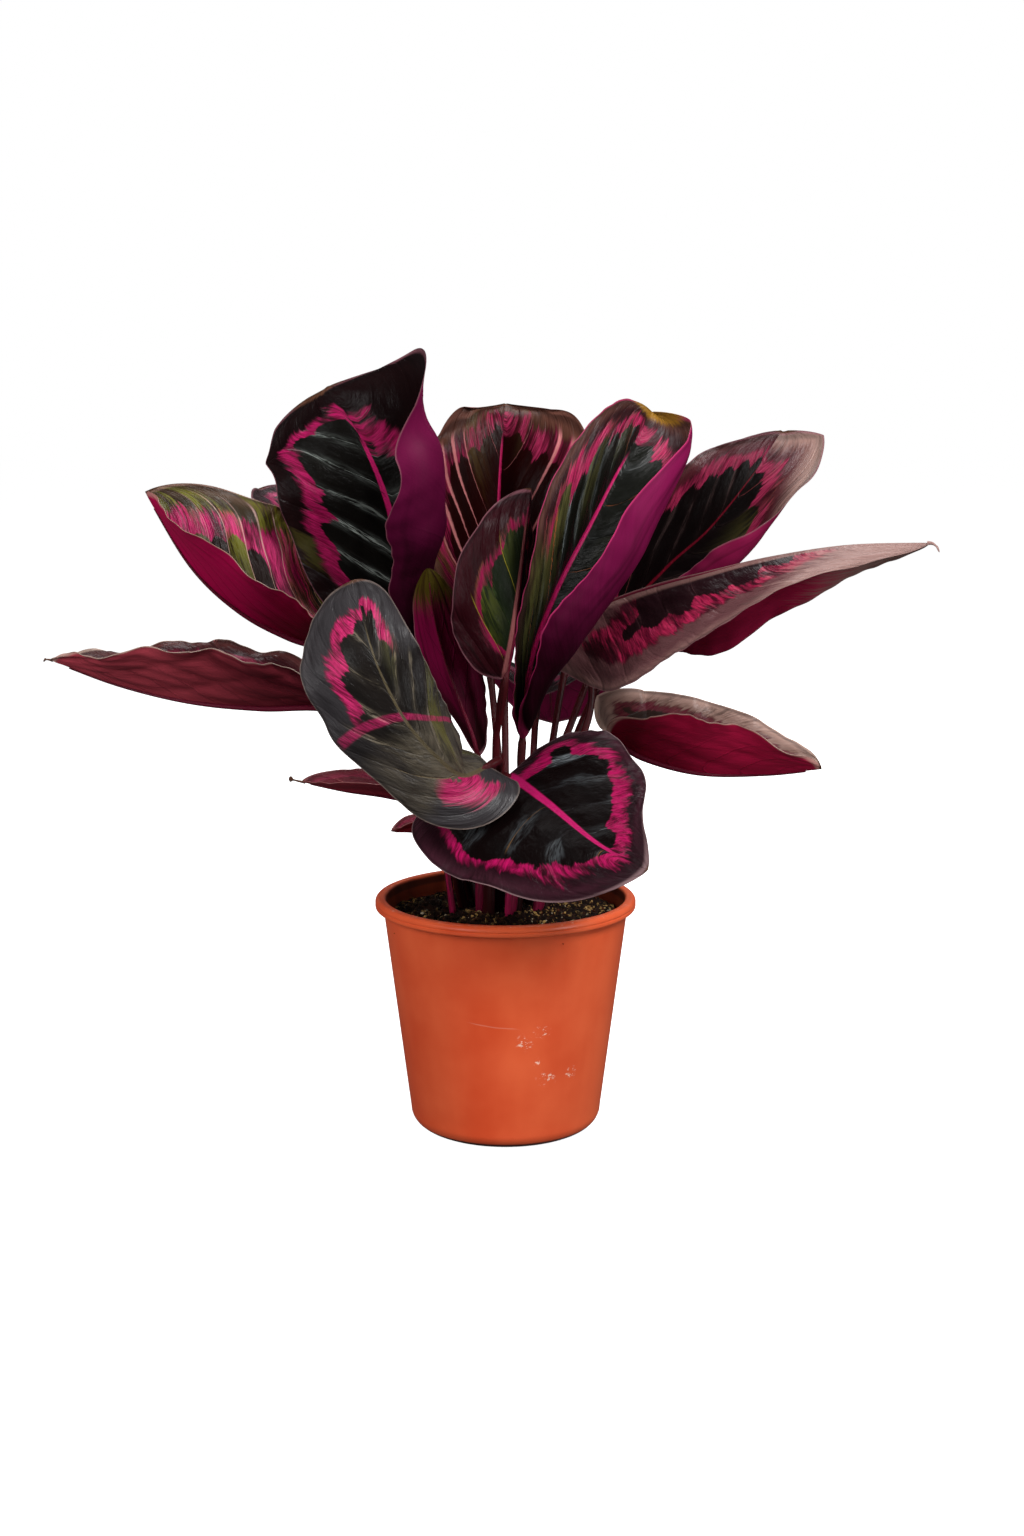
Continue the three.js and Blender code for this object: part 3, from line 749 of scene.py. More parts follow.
# calm: over which shares the relief dies away at the margin, the rib, the base and the tip
bladeSet = {
    "stations": 140,
    "crowding": 0.72,
    "halfColumns": 24,
    "curlSteps": 20,
    "full": (0.5, 0.62),
    "narrowest": 0.7,
    "fadeShare": 0.4,
    "middleThickness": 0.24,
    "marginThickness": 0.11,
    "veinGap": 20,
    "veinLean": 0.38,
    "veinBow": 1.15,
    "veinTurns": 0.25,
    "veinWobble": 0.12,
    "calm": (0.22, 0.2, 0.1, 0.07),
    "quilt": 1.3,
    "quiltPower": 0.75,
    "quiltSink": 0.3,
    "quiltUnder": 0.35,
    "quiltLength": 110,
    "groove": 0.35,
    "grooveWidth": 1.5,
    "swell": 0.33,
    "swells": 5,
    "folds": 4,
    "frill": 0.4,
    "frillLength": 13,
    "shine": 0.22,
    "underShine": 0.08,
}
# radii: pairs of a share of the stalk's length and the radius there. A small leaf's stalk is slimmer
stalkSet = {
    "foot": 101,
    "radii": [(0, 3.3), (0.25, 2.5), (0.6, 2.0), (0.85, 1.9), (0.9, 2.3), (0.99, 2.3), (1, 1.8)],
    "slimmest": 0.6,
    "slimWidth": 75,
    "sheathWidth": 0.7,
    "sheathFrom": 12,
    "sheathRise": 22,
    "sheathTop": 75,
    "sheathFall": 38,
    "sheathEnd": 0.8,
    "sides": 14,
    "stations": 48,
    "ribStations": 40,
    "ribEnd": 0.93,
    "ribThinning": 0.86,
    "ribFullWidth": 30,
    "ribSink": 0.05,
    "lineSteps": 24,
}
driedSet = {"stations": 12, "start": 0.3, "thinning": 0.6, "knobAt": 0.88, "knobLength": 0.09}
ringTurns = fullTurn * np.arange(stalkSet["sides"]) / stalkSet["sides"]


def ease(x):
    x = np.clip(x, 0, 1)
    return x * x * (3 - 2 * x)


def evenly(values, s):
    # the list runs from base to tip in even steps, eased at each value
    values = np.asarray(values, float)
    if len(values) == 1:
        return np.broadcast_to(values[0], s.shape + values.shape[1:])
    x = np.clip(s, 0, 1) * (len(values) - 1)
    i = np.minimum(x.astype(int), len(values) - 2)
    share = ease(x - i).reshape(s.shape + (1,) * (values.ndim - 1))
    return values[i] + (values[i + 1] - values[i]) * share


def unit(vectors):
    return vectors / np.linalg.norm(vectors, axis=-1, keepdims=True)


class LeafLine:
    # smooth line from the foot through the stalk and the midrib, read by the share of its length
    def __init__(self, leaf):
        points = np.array([[*leaf["foot"], stalkSet["foot"]], *leaf["stalk"], *leaf["rib"]], float)
        steps = stalkSet["lineSteps"]
        self.facing = leaf["facing"]
        self.spans = len(points) - 1
        self.ends = np.vstack([2 * points[0] - points[1], points, 2 * points[-1] - points[-2]])
        self.knots = np.linspace(0, self.spans, steps * self.spans + 1)
        strides = np.linalg.norm(np.diff(self.curve(self.knots), axis=0), axis=1)
        self.lengths = np.concatenate([[0], np.cumsum(strides)])
        self.length = self.lengths[-1]
        self.neck = self.lengths[steps * (len(points) - len(leaf["rib"]))] / self.length
        self.bladeLength = self.length * (1 - self.neck)

    def curve(self, t, slope=False):
        i = np.minimum(t.astype(int), self.spans - 1)
        f = (t - i)[:, None]
        before, start, stop, after = (self.ends[i + k] for k in range(4))
        leave = (stop - before) / 2
        arrive = (after - start) / 2
        bend = 3 * (stop - start) - 2 * leave - arrive
        twist = 2 * (start - stop) + leave + arrive
        if slope:
            return unit(leave + 2 * bend * f + 3 * twist * f ** 2)
        return start + leave * f + bend * f ** 2 + twist * f ** 3

    def frame(self, share, up):
        # centre, forward, top and right at each share of the length
        t = np.interp(np.clip(share, 0, 1) * self.length, self.lengths, self.knots)
        forward = self.curve(t, True)
        top = unit(up - forward * (up * forward).sum(-1, keepdims=True))
        return self.curve(t), forward, top, np.cross(forward, top)

    def bladeFrame(self, s):
        # the same at each share of the blade
        return self.frame(self.neck + (1 - self.neck) * s, evenly(self.facing, s))


def fullness(s, full):
    base, tip = full
    widest = base / (base + tip)
    return s ** base * (1 - s) ** tip / (widest ** base * (1 - widest) ** tip)


def bladeHalf(leaf, line, s, side, out, share, fade):
    # one half's points, normals, half widths, and how far each point is from the margin
    half = {**usualHalf, **leaf.get("left" if side < 0 else "right", {})}
    halfWidth = np.maximum(leaf["halfWidth"] * share, bladeSet["narrowest"]) * evenly(half["wide"], s)
    lift = evenly(half["lift"], s)
    curl = evenly(half["curl"], s)
    steps = bladeSet["curlSteps"]
    across = 0
    rise = 0
    for i in range(steps):
        turn = np.radians(lift + curl * (out * (i + 0.5) / steps) ** half["late"])
        across = across + np.cos(turn) * out / steps
        rise = rise + np.sin(turn) * out / steps
    turn = np.where(out > 0, np.radians(lift + curl * out ** half["late"]), 0)[..., None]
    centre, forward, top, right = (part[:, None] for part in line.bladeFrame(s[:, 0]))
    normal = top * np.cos(turn) - side * right * np.sin(turn)
    sweep = evenly(half["sweep"], s) * fade * out ** 1.5
    height, count, phase = leaf.get("ripple", (0, 0, 0))
    wave = height * np.sin(fullTurn * (count * s + phase)) * fade * out ** 3
    place = centre + right * (side * across * halfWidth)[..., None] + top * (rise * halfWidth)[..., None]
    place = place + forward * sweep[..., None] + normal * wave[..., None]
    edge = marginDistance(s * line.bladeLength, halfWidth, out, sweep) / halfWidth.max()
    return place, normal, np.broadcast_to(halfWidth, edge.shape), edge


def bladeGrid(leaf, line, draw):
    # points of both faces, with where each lies in the leaf
    x = np.linspace(0, 1, bladeSet["stations"])[:, None]
    s = x - bladeSet["crowding"] * np.sin(fullTurn * x) / fullTurn
    tau = np.linspace(-1, 1, 2 * bladeSet["halfColumns"] + 1)[None, :]
    out = np.abs(tau)
    share = fullness(s, leaf.get("full", bladeSet["full"]))
    fade = np.minimum(1, share / bladeSet["fadeShare"])
    sides = ((-1, out[:, tau[0] < 0]), (1, out[:, tau[0] >= 0]))
    halves = [bladeHalf(leaf, line, s, side, columns, share, fade) for side, columns in sides]
    points, normals, halfWidths, edges = (np.concatenate(pair, axis=1) for pair in zip(*halves))
    # veins leave the midrib by turns, and lean towards the tip
    veins = round(line.bladeLength / bladeSet["veinGap"])
    bow = leaf.get("veinLean", bladeSet["veinLean"]) * out ** bladeSet["veinBow"]
    wobble = bladeSet["veinWobble"] * np.sin(5.1 * s * veins / 9 + 2.3 * tau + draw.uniform(0, 6))
    lane = veins * (s - bow) + bladeSet["veinTurns"] * np.tanh(tau / 0.04) + wobble * ease(out / 0.2)
    margin, rib, base, tip = bladeSet["calm"]
    calm = ease(edges / margin) * ease((out - 0.03) / rib) * ease(s / base) * ease((1 - s) / tip)
    height = bladeSet["quilt"] * min(1, line.bladeLength / bladeSet["quiltLength"])
    quilt = height * np.abs(np.sin(math.pi * lane)) ** bladeSet["quiltPower"] * calm
    lift = -bladeSet["quiltSink"] * quilt
    # the blade's own unevenness
    for i in range(bladeSet["swells"]):
        a = draw.uniform(3, 11)
        b = draw.uniform(-3.5, 3.5)
        swell = np.sin(a * s + b * tau + draw.uniform(0, 6.3))
        lift = lift + bladeSet["swell"] * swell * ease(out / 0.25) * fade
    # creases that run mostly along the blade
    crease = leaf.get("crease", 0)
    for i in range(bladeSet["folds"] if crease else 0):
        a = draw.uniform(4, 11)
        b = draw.choice((-1, 1)) * draw.uniform(5, 9)
        fold = 1 - np.abs(np.sin(a * s + b * tau + draw.uniform(0, 6.3)))
        lift = lift + crease * 0.5 * (fold ** 2 - 0.25) * ease(out / 0.2) * fade
    pace = line.bladeLength / bladeSet["frillLength"]
    frill = np.sin(fullTurn * pace * s + 3 * np.sin(9 * s + tau * 2))
    lift = lift + bladeSet["frill"] * frill * out ** 7 * fade
    fromRib = tau * halfWidths
    groove = np.exp(-(fromRib / bladeSet["grooveWidth"]) ** 2) * ease((1 - s) / 0.2)
    middle = points + normals * (lift - bladeSet["groove"] * groove)[..., None]
    slope = unit(np.cross(np.gradient(middle, axis=1), np.gradient(middle, axis=0)) + normals * 1e-4)
    thin = bladeSet["marginThickness"]
    thick = thin + (bladeSet["middleThickness"] - thin) * ease(edges / 0.1)
    upper = middle + slope * (thick + quilt)[..., None]
    under = middle - slope * (thick - quilt * bladeSet["quiltUnder"])[..., None]
    place = np.dstack(np.broadcast_arrays(tau, s, lane))
    return upper, under, place, np.dstack([edges, fromRib, halfWidths])


def marginDistance(along, halfWidth, out, sweep):
    # how far each point of a flattened half lies from the outline
    points = np.dstack([out * halfWidth, along + sweep])
    margin = np.vstack([[0, along[0, 0]], points[:, np.argmax(out)], [0, along[-1, 0]]])
    start = margin[:-1]
    step = np.diff(margin, axis=0)
    flat = points.reshape(-1, 1, 2)
    part = ((flat - start) * step).sum(-1) / np.maximum((step ** 2).sum(-1), 1e-9)
    nearest = start + np.clip(part, 0, 1)[..., None] * step
    return np.linalg.norm(flat - nearest, axis=-1).min(1).reshape(points.shape[:2])


def stalkRings(leaf, line):
    # rings from the soil up the stalk, and on as a ridge under the midrib
    t = np.linspace(0, 1, stalkSet["stations"])
    s = np.linspace(0, stalkSet["ribEnd"], stalkSet["ribStations"])[1:]
    centre, _, top, right = line.bladeFrame(s)
    stalkCentre, stalkForward = line.frame(line.neck * t, np.array([0, 0, 1.0]))[:2]
    up = evenly(leaf["facing"], np.zeros(1))[0]
    tops = []
    for ahead in stalkForward[::-1]:
        up = unit(up - ahead * (up @ ahead))
        tops.insert(0, up)
    tops = np.array(tops)
    shares, radii = zip(*stalkSet["radii"])
    ribSize = min(1, leaf["halfWidth"] / stalkSet["ribFullWidth"])
    ridge = radii[-1] * (1 - stalkSet["ribThinning"] * s) * ribSize
    slim = min(1, stalkSet["slimmest"] + leaf["halfWidth"] / stalkSet["slimWidth"])
    radius = np.concatenate([np.interp(t, shares, radii) * slim, ridge])[:, None]
    drop = np.concatenate([0 * t, (ridge + bladeSet["groove"]) * ease(s / stalkSet["ribSink"])])[:, None]
    centre = np.vstack([stalkCentre, centre])
    top = np.vstack([tops, top])
    right = np.vstack([np.cross(stalkForward, tops), right])
    way = np.concatenate([t * line.neck, line.neck + (1 - line.neck) * s])[:, None] * line.length
    # the sheath clasps the foot of the stalk, widest a little above the soil
    rising = ease((way - stalkSet["sheathFrom"]) / stalkSet["sheathRise"])
    falling = ease((stalkSet["sheathTop"] - way) / stalkSet["sheathFall"])
    sheath = rising * falling * (way < line.neck * line.length * stalkSet["sheathEnd"])
    side = np.sin(ringTurns) * radius * (1 + stalkSet["sheathWidth"] * sheath)
    rise = np.cos(ringTurns) * radius
    points = (centre - top * drop)[:, None] + side[..., None] * right[:, None]
    points = points + rise[..., None] * top[:, None]
    share = np.concatenate([t, 1 + s])[:, None]
    return points, np.dstack(np.broadcast_arrays(ringTurns / fullTurn, share, way))


def driedRings(line, end):
    # a thin withered end that leaves the tip of the blade and curls down to a small knob
    t = np.linspace(0, 1, driedSet["stations"])[:, None]
    start = driedSet["start"]
    centre, forward, top, right = line.bladeFrame(np.ones(1))
    ahead = forward * ((1 + start) * t - start) * end["length"]
    path = centre + ahead - np.array([0, 0, end["drop"]]) * t ** 3
    knob = end["knob"] * np.exp(-((t - driedSet["knobAt"]) / driedSet["knobLength"]) ** 2)
    radius = end["radius"] * (1 - driedSet["thinning"] * t) + knob
    around = np.sin(ringTurns)[:, None] * right + np.cos(ringTurns)[:, None] * top
    return path[:, None] + around * radius[..., None]


def tube(rings, first):
    # faces of a closed tube whose points start at the given number
    number = first + np.arange(rings.shape[0] * rings.shape[1]).reshape(rings.shape[:2])
    beside = np.roll(number, -1, axis=1)
    sides = np.stack([number[:-1], beside[:-1], beside[1:], number[1:]], -1).reshape(-1, 4)
    return [*sides.tolist(), number[0, ::-1].tolist(), number[-1].tolist()]


def leafMesh(leaf, seed):
    line = LeafLine(leaf)
    upper, under, place, span = bladeGrid(leaf, line, np.random.default_rng(seed))
    rings, stalkPlace = stalkRings(leaf, line)
    count = place[..., 0].size
    number = np.arange(count).reshape(place.shape[:2])
    grid = np.stack([number[:-1, :-1], number[:-1, 1:], number[1:, 1:], number[1:, :-1]], -1).reshape(-1, 4)
    loop = np.concatenate([number[0, :-1], number[:-1, -1], number[-1, :0:-1], number[:0:-1, 0]])
    ahead = np.roll(loop, -1)
    rim = np.stack([loop + count, ahead + count, ahead, loop], -1)
    lower = grid[:, ::-1] + count
    # each part's faces, with the number of their finish
    parts = [(grid.tolist(), 0), (lower.tolist(), 1), (rim.tolist(), 0), (tube(rings, 2 * count), 2)]
    points = [upper, under, rings]
    places = [place, place, stalkPlace]
    spans = [span, span, np.full(rings.shape, leaf.get("pinkSheath", 0.0))]
    if "driedEnd" in leaf:
        end = driedRings(line, leaf["driedEnd"])
        parts.append((tube(end, 2 * count + rings[..., 0].size), 0))
        points.append(end)
        places.append(np.broadcast_to([0, 1.5, 0], end.shape))
        spans.append(0 * end)
    faces = [face for part, finish in parts for face in part]
    finishes = [finish for part, finish in parts for face in part]
    lists = (points, places, spans)
    joined = [np.concatenate([block.reshape(-1, 3) for block in blocks]) for blocks in lists]
    return faces, finishes, *joined


# Leaf colours and pattern. A look gives only what differs from the usual one, lengths as shares
usualLook = {
    "Field": (15, 13, 11),
    # Stroke: pale strokes by the veins, partly the leaf's own marks and partly painted highlights
    "Stroke": (112, 116, 110),
    "Ring": (182, 28, 94),
    "Band": (34, 15, 20),
    "Edge": (56, 34, 38),
    "Vein": (196, 120, 116),
    "Streak": (84, 80, 34),
    "Rib": (184, 34, 98),
    "Margin": (140, 88, 98),
    "Under": (108, 12, 56),
    # Deep: the under side's dark tone, painted shade towards the base, also its darker veins and streaks
    "Deep": (34, 1, 12),
    "RingOuter": 0.2,  # from the margin inwards
    "RingInner": 0.32,
    "RingSwell": 1.0,
    "RightShift": 0.0,  # how much further in the ring lies on the right half
    "LeftFrom": -0.1,  # where along the leaf each half's ring starts
    "RightFrom": -0.1,
    "BaseRing": -1.0,  # up to where it shows at the base too
    "Broken": 0.0,
    "Crease": 2.0,  # where a crease crosses the blade, nowhere if past 1
    # DeepTo: up to where that painted shade reaches
    "DeepTo": 0.62,  # up to where the under side is darker
    "StrokeShare": 0.8,
    "StrokeWidth": 0.3,
    "VeinShare": 0.2,
    "StreakShare": 0.1,
    "BandStreaks": 0.0,
    "Wrinkle": 0.6,
    "RibEnd": 0.86,
    "RibWidth": 2.2,  # mm
    "VeinWidth": 0.05,
    "VeinReach": 0.26,  # how near the margin the veins come
    "Tip": (84, 54, 40),
    "TipStart": 0.985,
    "Seed": 0.0,
}
# a small leaf whose upper side is hardly patterned yet
plainRed = dict(
    Field=(96, 22, 36), Stroke=(84, 20, 30), Ring=(118, 36, 52), Band=(96, 24, 38),
    Edge=(132, 58, 66), Rib=(122, 40, 54), Margin=(156, 100, 98), StreakShare=0.0,
)
# in a look, Deep and DeepTo set the under side's painted shade; on the crown and centre-right folds it
# reaches far up
looks = dict(
    leaf_crown_left=dict(
        Under=(108, 14, 62), Deep=(30, 1, 12), Stroke=(150, 158, 152), StreakShare=0.0, VeinShare=0.2,
        Vein=(176, 70, 90), StrokeShare=1.3, RibWidth=3.2, RibEnd=0.8, RingOuter=0.22, RingInner=0.33,
        Band=(16, 6, 7), Edge=(24, 11, 12), Ring=(164, 22, 84), Rib=(196, 30, 102), DeepTo=1.05,
    ),
    leaf_left_up=dict(
        Field=(28, 12, 8), Streak=(122, 122, 34), StreakShare=0.6, BandStreaks=0.6, VeinShare=0.48,
        Vein=(226, 182, 172), VeinWidth=0.26, VeinReach=0.04, Ring=(214, 44, 116), Under=(160, 8, 66),
        Deep=(84, 0, 20), Stroke=(120, 84, 64), StrokeShare=0.5, Broken=0.1, Band=(50, 40, 28),
        Edge=(92, 70, 56), Margin=(190, 150, 136), RingOuter=0.22, RingInner=0.44,
    ),
    leaf_left_low=dict(
        Under=(158, 58, 70), Deep=(76, 16, 27), Field=(34, 8, 12), Band=(48, 15, 20), Wrinkle=0.9,
        Edge=(94, 52, 50), Ring=(110, 30, 48), Stroke=(80, 40, 38), Margin=(222, 196, 180),
    ),
    leaf_front_left=dict(
        Field=(28, 24, 22), Band=(48, 45, 47), Edge=(66, 62, 64), Stroke=(116, 106, 90), StrokeShare=1.3,
        Ring=(198, 42, 104), Vein=(132, 112, 78), VeinShare=0.42, RingOuter=0.4, RingInner=0.54,
        Rib=(84, 74, 54), LeftFrom=0.56, RightFrom=0.74, BaseRing=0.26, Crease=0.5,
        Margin=(128, 112, 104), RibWidth=1.4,
    ),
    # its Stroke dabs are mostly painted glints
    leaf_front_round=dict(
        Field=(10, 4, 4), StrokeShare=0.85, StrokeWidth=0.6, Ring=(164, 14, 80), VeinShare=0.12,
        Vein=(150, 106, 54), Band=(26, 8, 14), Edge=(56, 26, 36), RingOuter=0.17, RingInner=0.27,
        RingSwell=1.9, RibWidth=3.0, Stroke=(112, 118, 122), Margin=(150, 120, 122), Rib=(170, 22, 88),
    ),
    leaf_back_centre=dict(
        Field=(32, 2, 2), Stroke=(76, 34, 22), Band=(60, 36, 24), Edge=(92, 56, 46), VeinWidth=0.17,
        Ring=(166, 40, 82), Vein=(202, 124, 124), VeinShare=0.46, Broken=0.2, VeinReach=0.04,
        RingOuter=0.1, RingInner=0.3, Streak=(84, 64, 28), StreakShare=0.45, BandStreaks=0.35,
        StrokeShare=0.4, Rib=(186, 34, 92), Margin=(130, 84, 72),
    ),
    # the Stroke dabs on its right half are painted highlights
    leaf_centre_right=dict(
        Field=(20, 21, 16), Stroke=(138, 146, 146), StrokeShare=0.8, StrokeWidth=0.42, Band=(44, 18, 22),
        Edge=(100, 64, 56), Streak=(84, 82, 44), StreakShare=0.5, BandStreaks=0.2, Vein=(186, 104, 60),
        Under=(132, 18, 76), Deep=(18, 0, 4), DeepTo=1.1, Tip=(150, 108, 36), TipStart=0.965, Broken=0.06,
        VeinShare=0.25, RibWidth=2.8, Rib=(206, 34, 108), LeftFrom=0.55, VeinWidth=0.12,
        Ring=(194, 44, 96), Margin=(214, 60, 120),
    ),
    leaf_centre_folded=dict(
        Field=(20, 28, 14), Stroke=(56, 70, 34), Streak=(74, 80, 24), StreakShare=0.2, Ring=(132, 20, 62),
        Band=(38, 6, 12), Edge=(50, 14, 22), Rib=(130, 74, 74), Vein=(140, 128, 40), Under=(84, 8, 36),
        RingOuter=0.36, RingInner=0.46, RibWidth=3.0,
    ),
    leaf_right_up=dict(
        Field=(10, 5, 5), Stroke=(84, 66, 64), Ring=(156, 40, 76), RightShift=0.14, Band=(72, 26, 34),
        Edge=(158, 126, 116), Under=(124, 18, 62), VeinShare=0.2, Rib=(100, 8, 28), RibWidth=1.1,
        Vein=(150, 70, 72),
    ),
    leaf_right_long=dict(
        Field=(34, 14, 19), Stroke=(84, 56, 60), Band=(92, 58, 60), Edge=(126, 92, 88),
        Ring=(176, 36, 76), Under=(168, 26, 70), Deep=(124, 14, 50), RingOuter=0.3, RingInner=0.46,
        Broken=0.14, Rib=(116, 84, 80), RibWidth=6.5, RibEnd=1.0, VeinShare=0.0, Tip=(150, 118, 112),
        TipStart=0.62,
    ),
    leaf_right_low=dict(
        Field=(60, 40, 34), Band=(138, 108, 98), Edge=(186, 152, 140), Under=(164, 20, 60),
        Deep=(120, 8, 38), Margin=(214, 180, 164), StreakShare=0.0, Ring=(112, 60, 60),
    ),
    leaf_left_small=dict(Under=(138, 42, 56), Deep=(108, 28, 42), **plainRed),
    leaf_left_tiny=dict(Under=(122, 26, 36), Deep=(94, 16, 26), **plainRed),
    # its under side and olive tip are toned darker: painted shade from the leaves round it
    leaf_young_rolled=dict(
        Under=(112, 7, 54), Deep=(30, 2, 6), Wrinkle=1.0, Field=(60, 6, 24), Tip=(62, 52, 11),
        TipStart=0.74,
    ),
    leaf_rear_left=dict(VeinShare=0.4, Ring=(190, 60, 112)),
    leaf_rear_right=dict(StreakShare=0.2),
    leaf_rear_level_right=dict(VeinShare=0.3),
)


def newPattern(name, labels):
    # a leaf's look comes in, each value as a colour or a number
    inputs = {label: "Color" if isinstance(usualLook[label], tuple) else "Float" for label in labels}
    outputs = {"Colour": "Color", "Roughness": "Float", "Height": "Float"}
    tree, given, out = newGroup(name, "ShaderNodeTree", inputs, outputs)
    return tree, {label: Wire(tree, given[label]) for label in labels}, out


def upperPattern():
    # dark field, feathered ring, dull band, pale midrib and veins
    labels = [label for label in usualLook if label not in ("Under", "Deep", "DeepTo", "Wrinkle")]
    tree, look, out = newPattern("calatheaUpper", labels)
    tau, s, lane = readPlace(tree, "leafPlace")
    edge, fromRib, halfWidth = readPlace(tree, "leafSpan")
    seed = look["Seed"]
    side = tau.rise(-0.001, 0.001)
    away = tau.size()
    vein = (lane + 0.5).calc("FLOOR")
    fromVein = (lane - vein).size()
    panel = lane.calc("FLOOR")
    veinDraw = chance(vein * 1.37 + side * 17.3 + seed * 3.1)
    panelDraw = chance(panel * 2.11 + side * 31.7 + seed * 5.3)
    number = side * 9 + seed * 4
    drift = grainAt(lane * 1.1, away * 2.5, number + 17)
    feather = grainAt(lane * 8 + drift * 5, away * 4.5, number, 5, 0.62)
    hair = grainAt(lane * 30 + drift * 14, away * 8, number + 3, 2, 0.6)
    cloud = grainAt(lane * 0.9, away * 3, number + 5)
    shift = grainAt(lane * 0.55, number + 7, edge * 2, 1)
    flame = grainAt(lane * 3.4 + drift * 3, away * 2, number + 11, 3, 0.55)
    # ring, from a share of the length that each half has, and again near the base
    scallop = fromVein.rise(0.42, 0.0) * (veinDraw * 0.1 + 0.02)
    step = (panelDraw - 0.5) * 0.08 + side * look["RightShift"]
    swell = shift * look["RingSwell"]
    ragged = (drift * 2 + 0.9).rise(0.1, 1.2)
    inner = look["RingInner"] + swell * 0.24 + scallop + step + feather * 0.12 + flame * (drift + 0.5) * 0.14
    outer = look["RingOuter"] + swell * 0.14 + step - (feather * 0.16 + flame * 0.3) * ragged + hair * 0.05
    first = look["LeftFrom"] + side * (look["RightFrom"] - look["LeftFrom"])
    shown = (s + cloud * 0.1 + feather * 0.1).rise(first - 0.05, first + 0.05)
    atBase = (s + cloud * 0.05).rise(look["BaseRing"], look["BaseRing"] - 0.06) * (1 - side)
    shown = shown.calc("MAXIMUM", atBase)
    outer = outer - atBase * 0.14
    inner = inner + atBase * 0.06
    ring = edge.rise(outer - 0.03, outer + 0.05) * (1 - edge.rise(inner - 0.012, inner + 0.012))
    patchy = (cloud * 1.3 + feather * 0.8 - look["Broken"]).rise(-0.3, 0.0)
    ring = ring * (patchy * 0.88 + 0.12) * shown
    # the ring's tone, streaked from dark wine to its own pink, with pale pink patches that are painted
    # highlights
    bright = (hair + feather).rise(-0.3, 0.3), look["Ring"]
    ringTone = layer(paint(92, 6, 40), bright, ((feather + cloud).rise(0.15, 0.5, 0.4), paint(224, 88, 138)))
    crease = (s - look["Crease"] + tau * 0.114 + tau * tau * 0.075 + cloud * 0.012).size().rise(0.02, 0.01)
    crease = crease * edge.rise(0.0, 0.1) * (feather * 1.5 + hair + 0.6).rise(0.1, 0.5) * 0.6
    # field, paler below a crease that crosses the blade
    below = (look["Crease"] - s + feather * 0.06).rise(0.0, 0.14) * (1.5 - look["Crease"]).rise(0.0, 0.5)
    below = below * (cloud + feather + 0.5).rise(0.0, 0.9) * 0.6
    dark = (cloud + 0.5).rise(0.2, 0.9, 0.6)
    field = layer(look["Field"], (dark, paint(6, 5, 5)), (below, look["Stroke"]))
    # strokes beside the veins, each a dab along a part of its vein: partly the leaf's own pale marks, partly
    # painted highlights and glints, with a broad painted sheen (the glow) beside them
    besideVein = (lane - vein - 0.05).size()
    glow = besideVein.rise(0.3, 0.0) * (feather + hair * 0.7 + 0.3).rise(0.12, 0.62) * 0.3
    dabStart = chance(vein * 3.31 + side * 7.7 + seed) * 0.35
    dab = away.rise(dabStart, dabStart + 0.2) * away.rise(dabStart + 0.65, dabStart + 0.35)
    width = (cloud + feather * 0.5 + 0.4) * look["StrokeWidth"] * dab + 0.01
    core = besideVein.rise(width, width * 0.4) * (hair * 1.6 + feather + cloud * 0.5).rise(-0.2, 0.25)
    strokeAndGlint = (glow * 0.8 + core * 0.9) * (veinDraw * veinDraw + 0.16) * look["StrokeShare"]
    strokeAndGlint = strokeAndGlint * edge.rise(0.12, 0.3)
    wedge = (look["StreakShare"] - panelDraw).rise(-0.02, 0.02) * away.rise(0.05, 0.7)
    wedge = wedge * (feather * 1.4 + cloud + 0.42).rise(0.15, 0.55) * 0.9
    # band, lighter towards the margin
    paleness = (edge + feather * 0.14).rise(side * look["RightShift"] + 0.16, 0.0)
    paleness = paleness * (1 - (1 - side) * look["RightShift"] * 6)
    streaky = (feather + cloud).rise(0.02, 0.35, 0.6)
    band = layer(look["Band"], (paleness, look["Edge"]), (streaky, paint(18, 10, 10)))
    banded = (1 - edge.rise(outer - 0.03, outer + 0.04)) * (shown * 0.7 + 0.3)
    ownDraw = chance(panel * 1.77 + side * 11.3 + seed * 2.3)
    olive = (look["BandStreaks"] - ownDraw).rise(-0.02, 0.02)
    olive = olive * (feather * 1.6 + cloud + drift + 0.3).rise(0.1, 0.6) * 0.75
    # veins and midrib in true millimetres
    widthDraw = chance(vein * 5.7 + side * 3.3 + seed)
    veinWidth = away * away * look["VeinWidth"] * (widthDraw * widthDraw * 2.4 + 0.15) + 0.012
    drawn = (look["VeinShare"] - veinDraw).rise(-0.02, 0.02) * (widthDraw * 0.6 + 0.35)
    wander = (fromVein + shift * 0.1 * away).size()
    line = wander.rise(veinWidth * (cloud + 1.1), veinWidth * 0.3) * (0.45 + cloud + feather).rise(0.1, 0.45)
    line = line * drawn * away.rise(0.02, 0.08) * edge.rise(look["VeinReach"], look["VeinReach"] + 0.1)
    ribWidth = (1.12 - s) * look["RibWidth"] + feather * 0.5
    rib = fromRib.size().rise(ribWidth, ribWidth * 0.6) * (1 - s.rise(look["RibEnd"] - 0.08, look["RibEnd"]))
    fromMargin = edge * halfWidth
    margin = fromMargin.rise(0.6, 0.1, 0.6) * (cloud + 0.6).rise(0.2, 0.7)
    colour = layer(
        field,
        (strokeAndGlint, look["Stroke"]),
        (wedge, look["Streak"]),
        (banded, band),
        (banded * olive, look["Streak"]),
        (ring.calc("MAXIMUM", crease), ringTone),
        (line, look["Vein"]),
        (rib * 0.95, look["Rib"]),
        (fromMargin.rise(2.4, 0.8, 0.5), paint(12, 7, 8)),
        (margin, look["Margin"]),
        (driedTip(look, s, feather), look["Tip"]),
    )
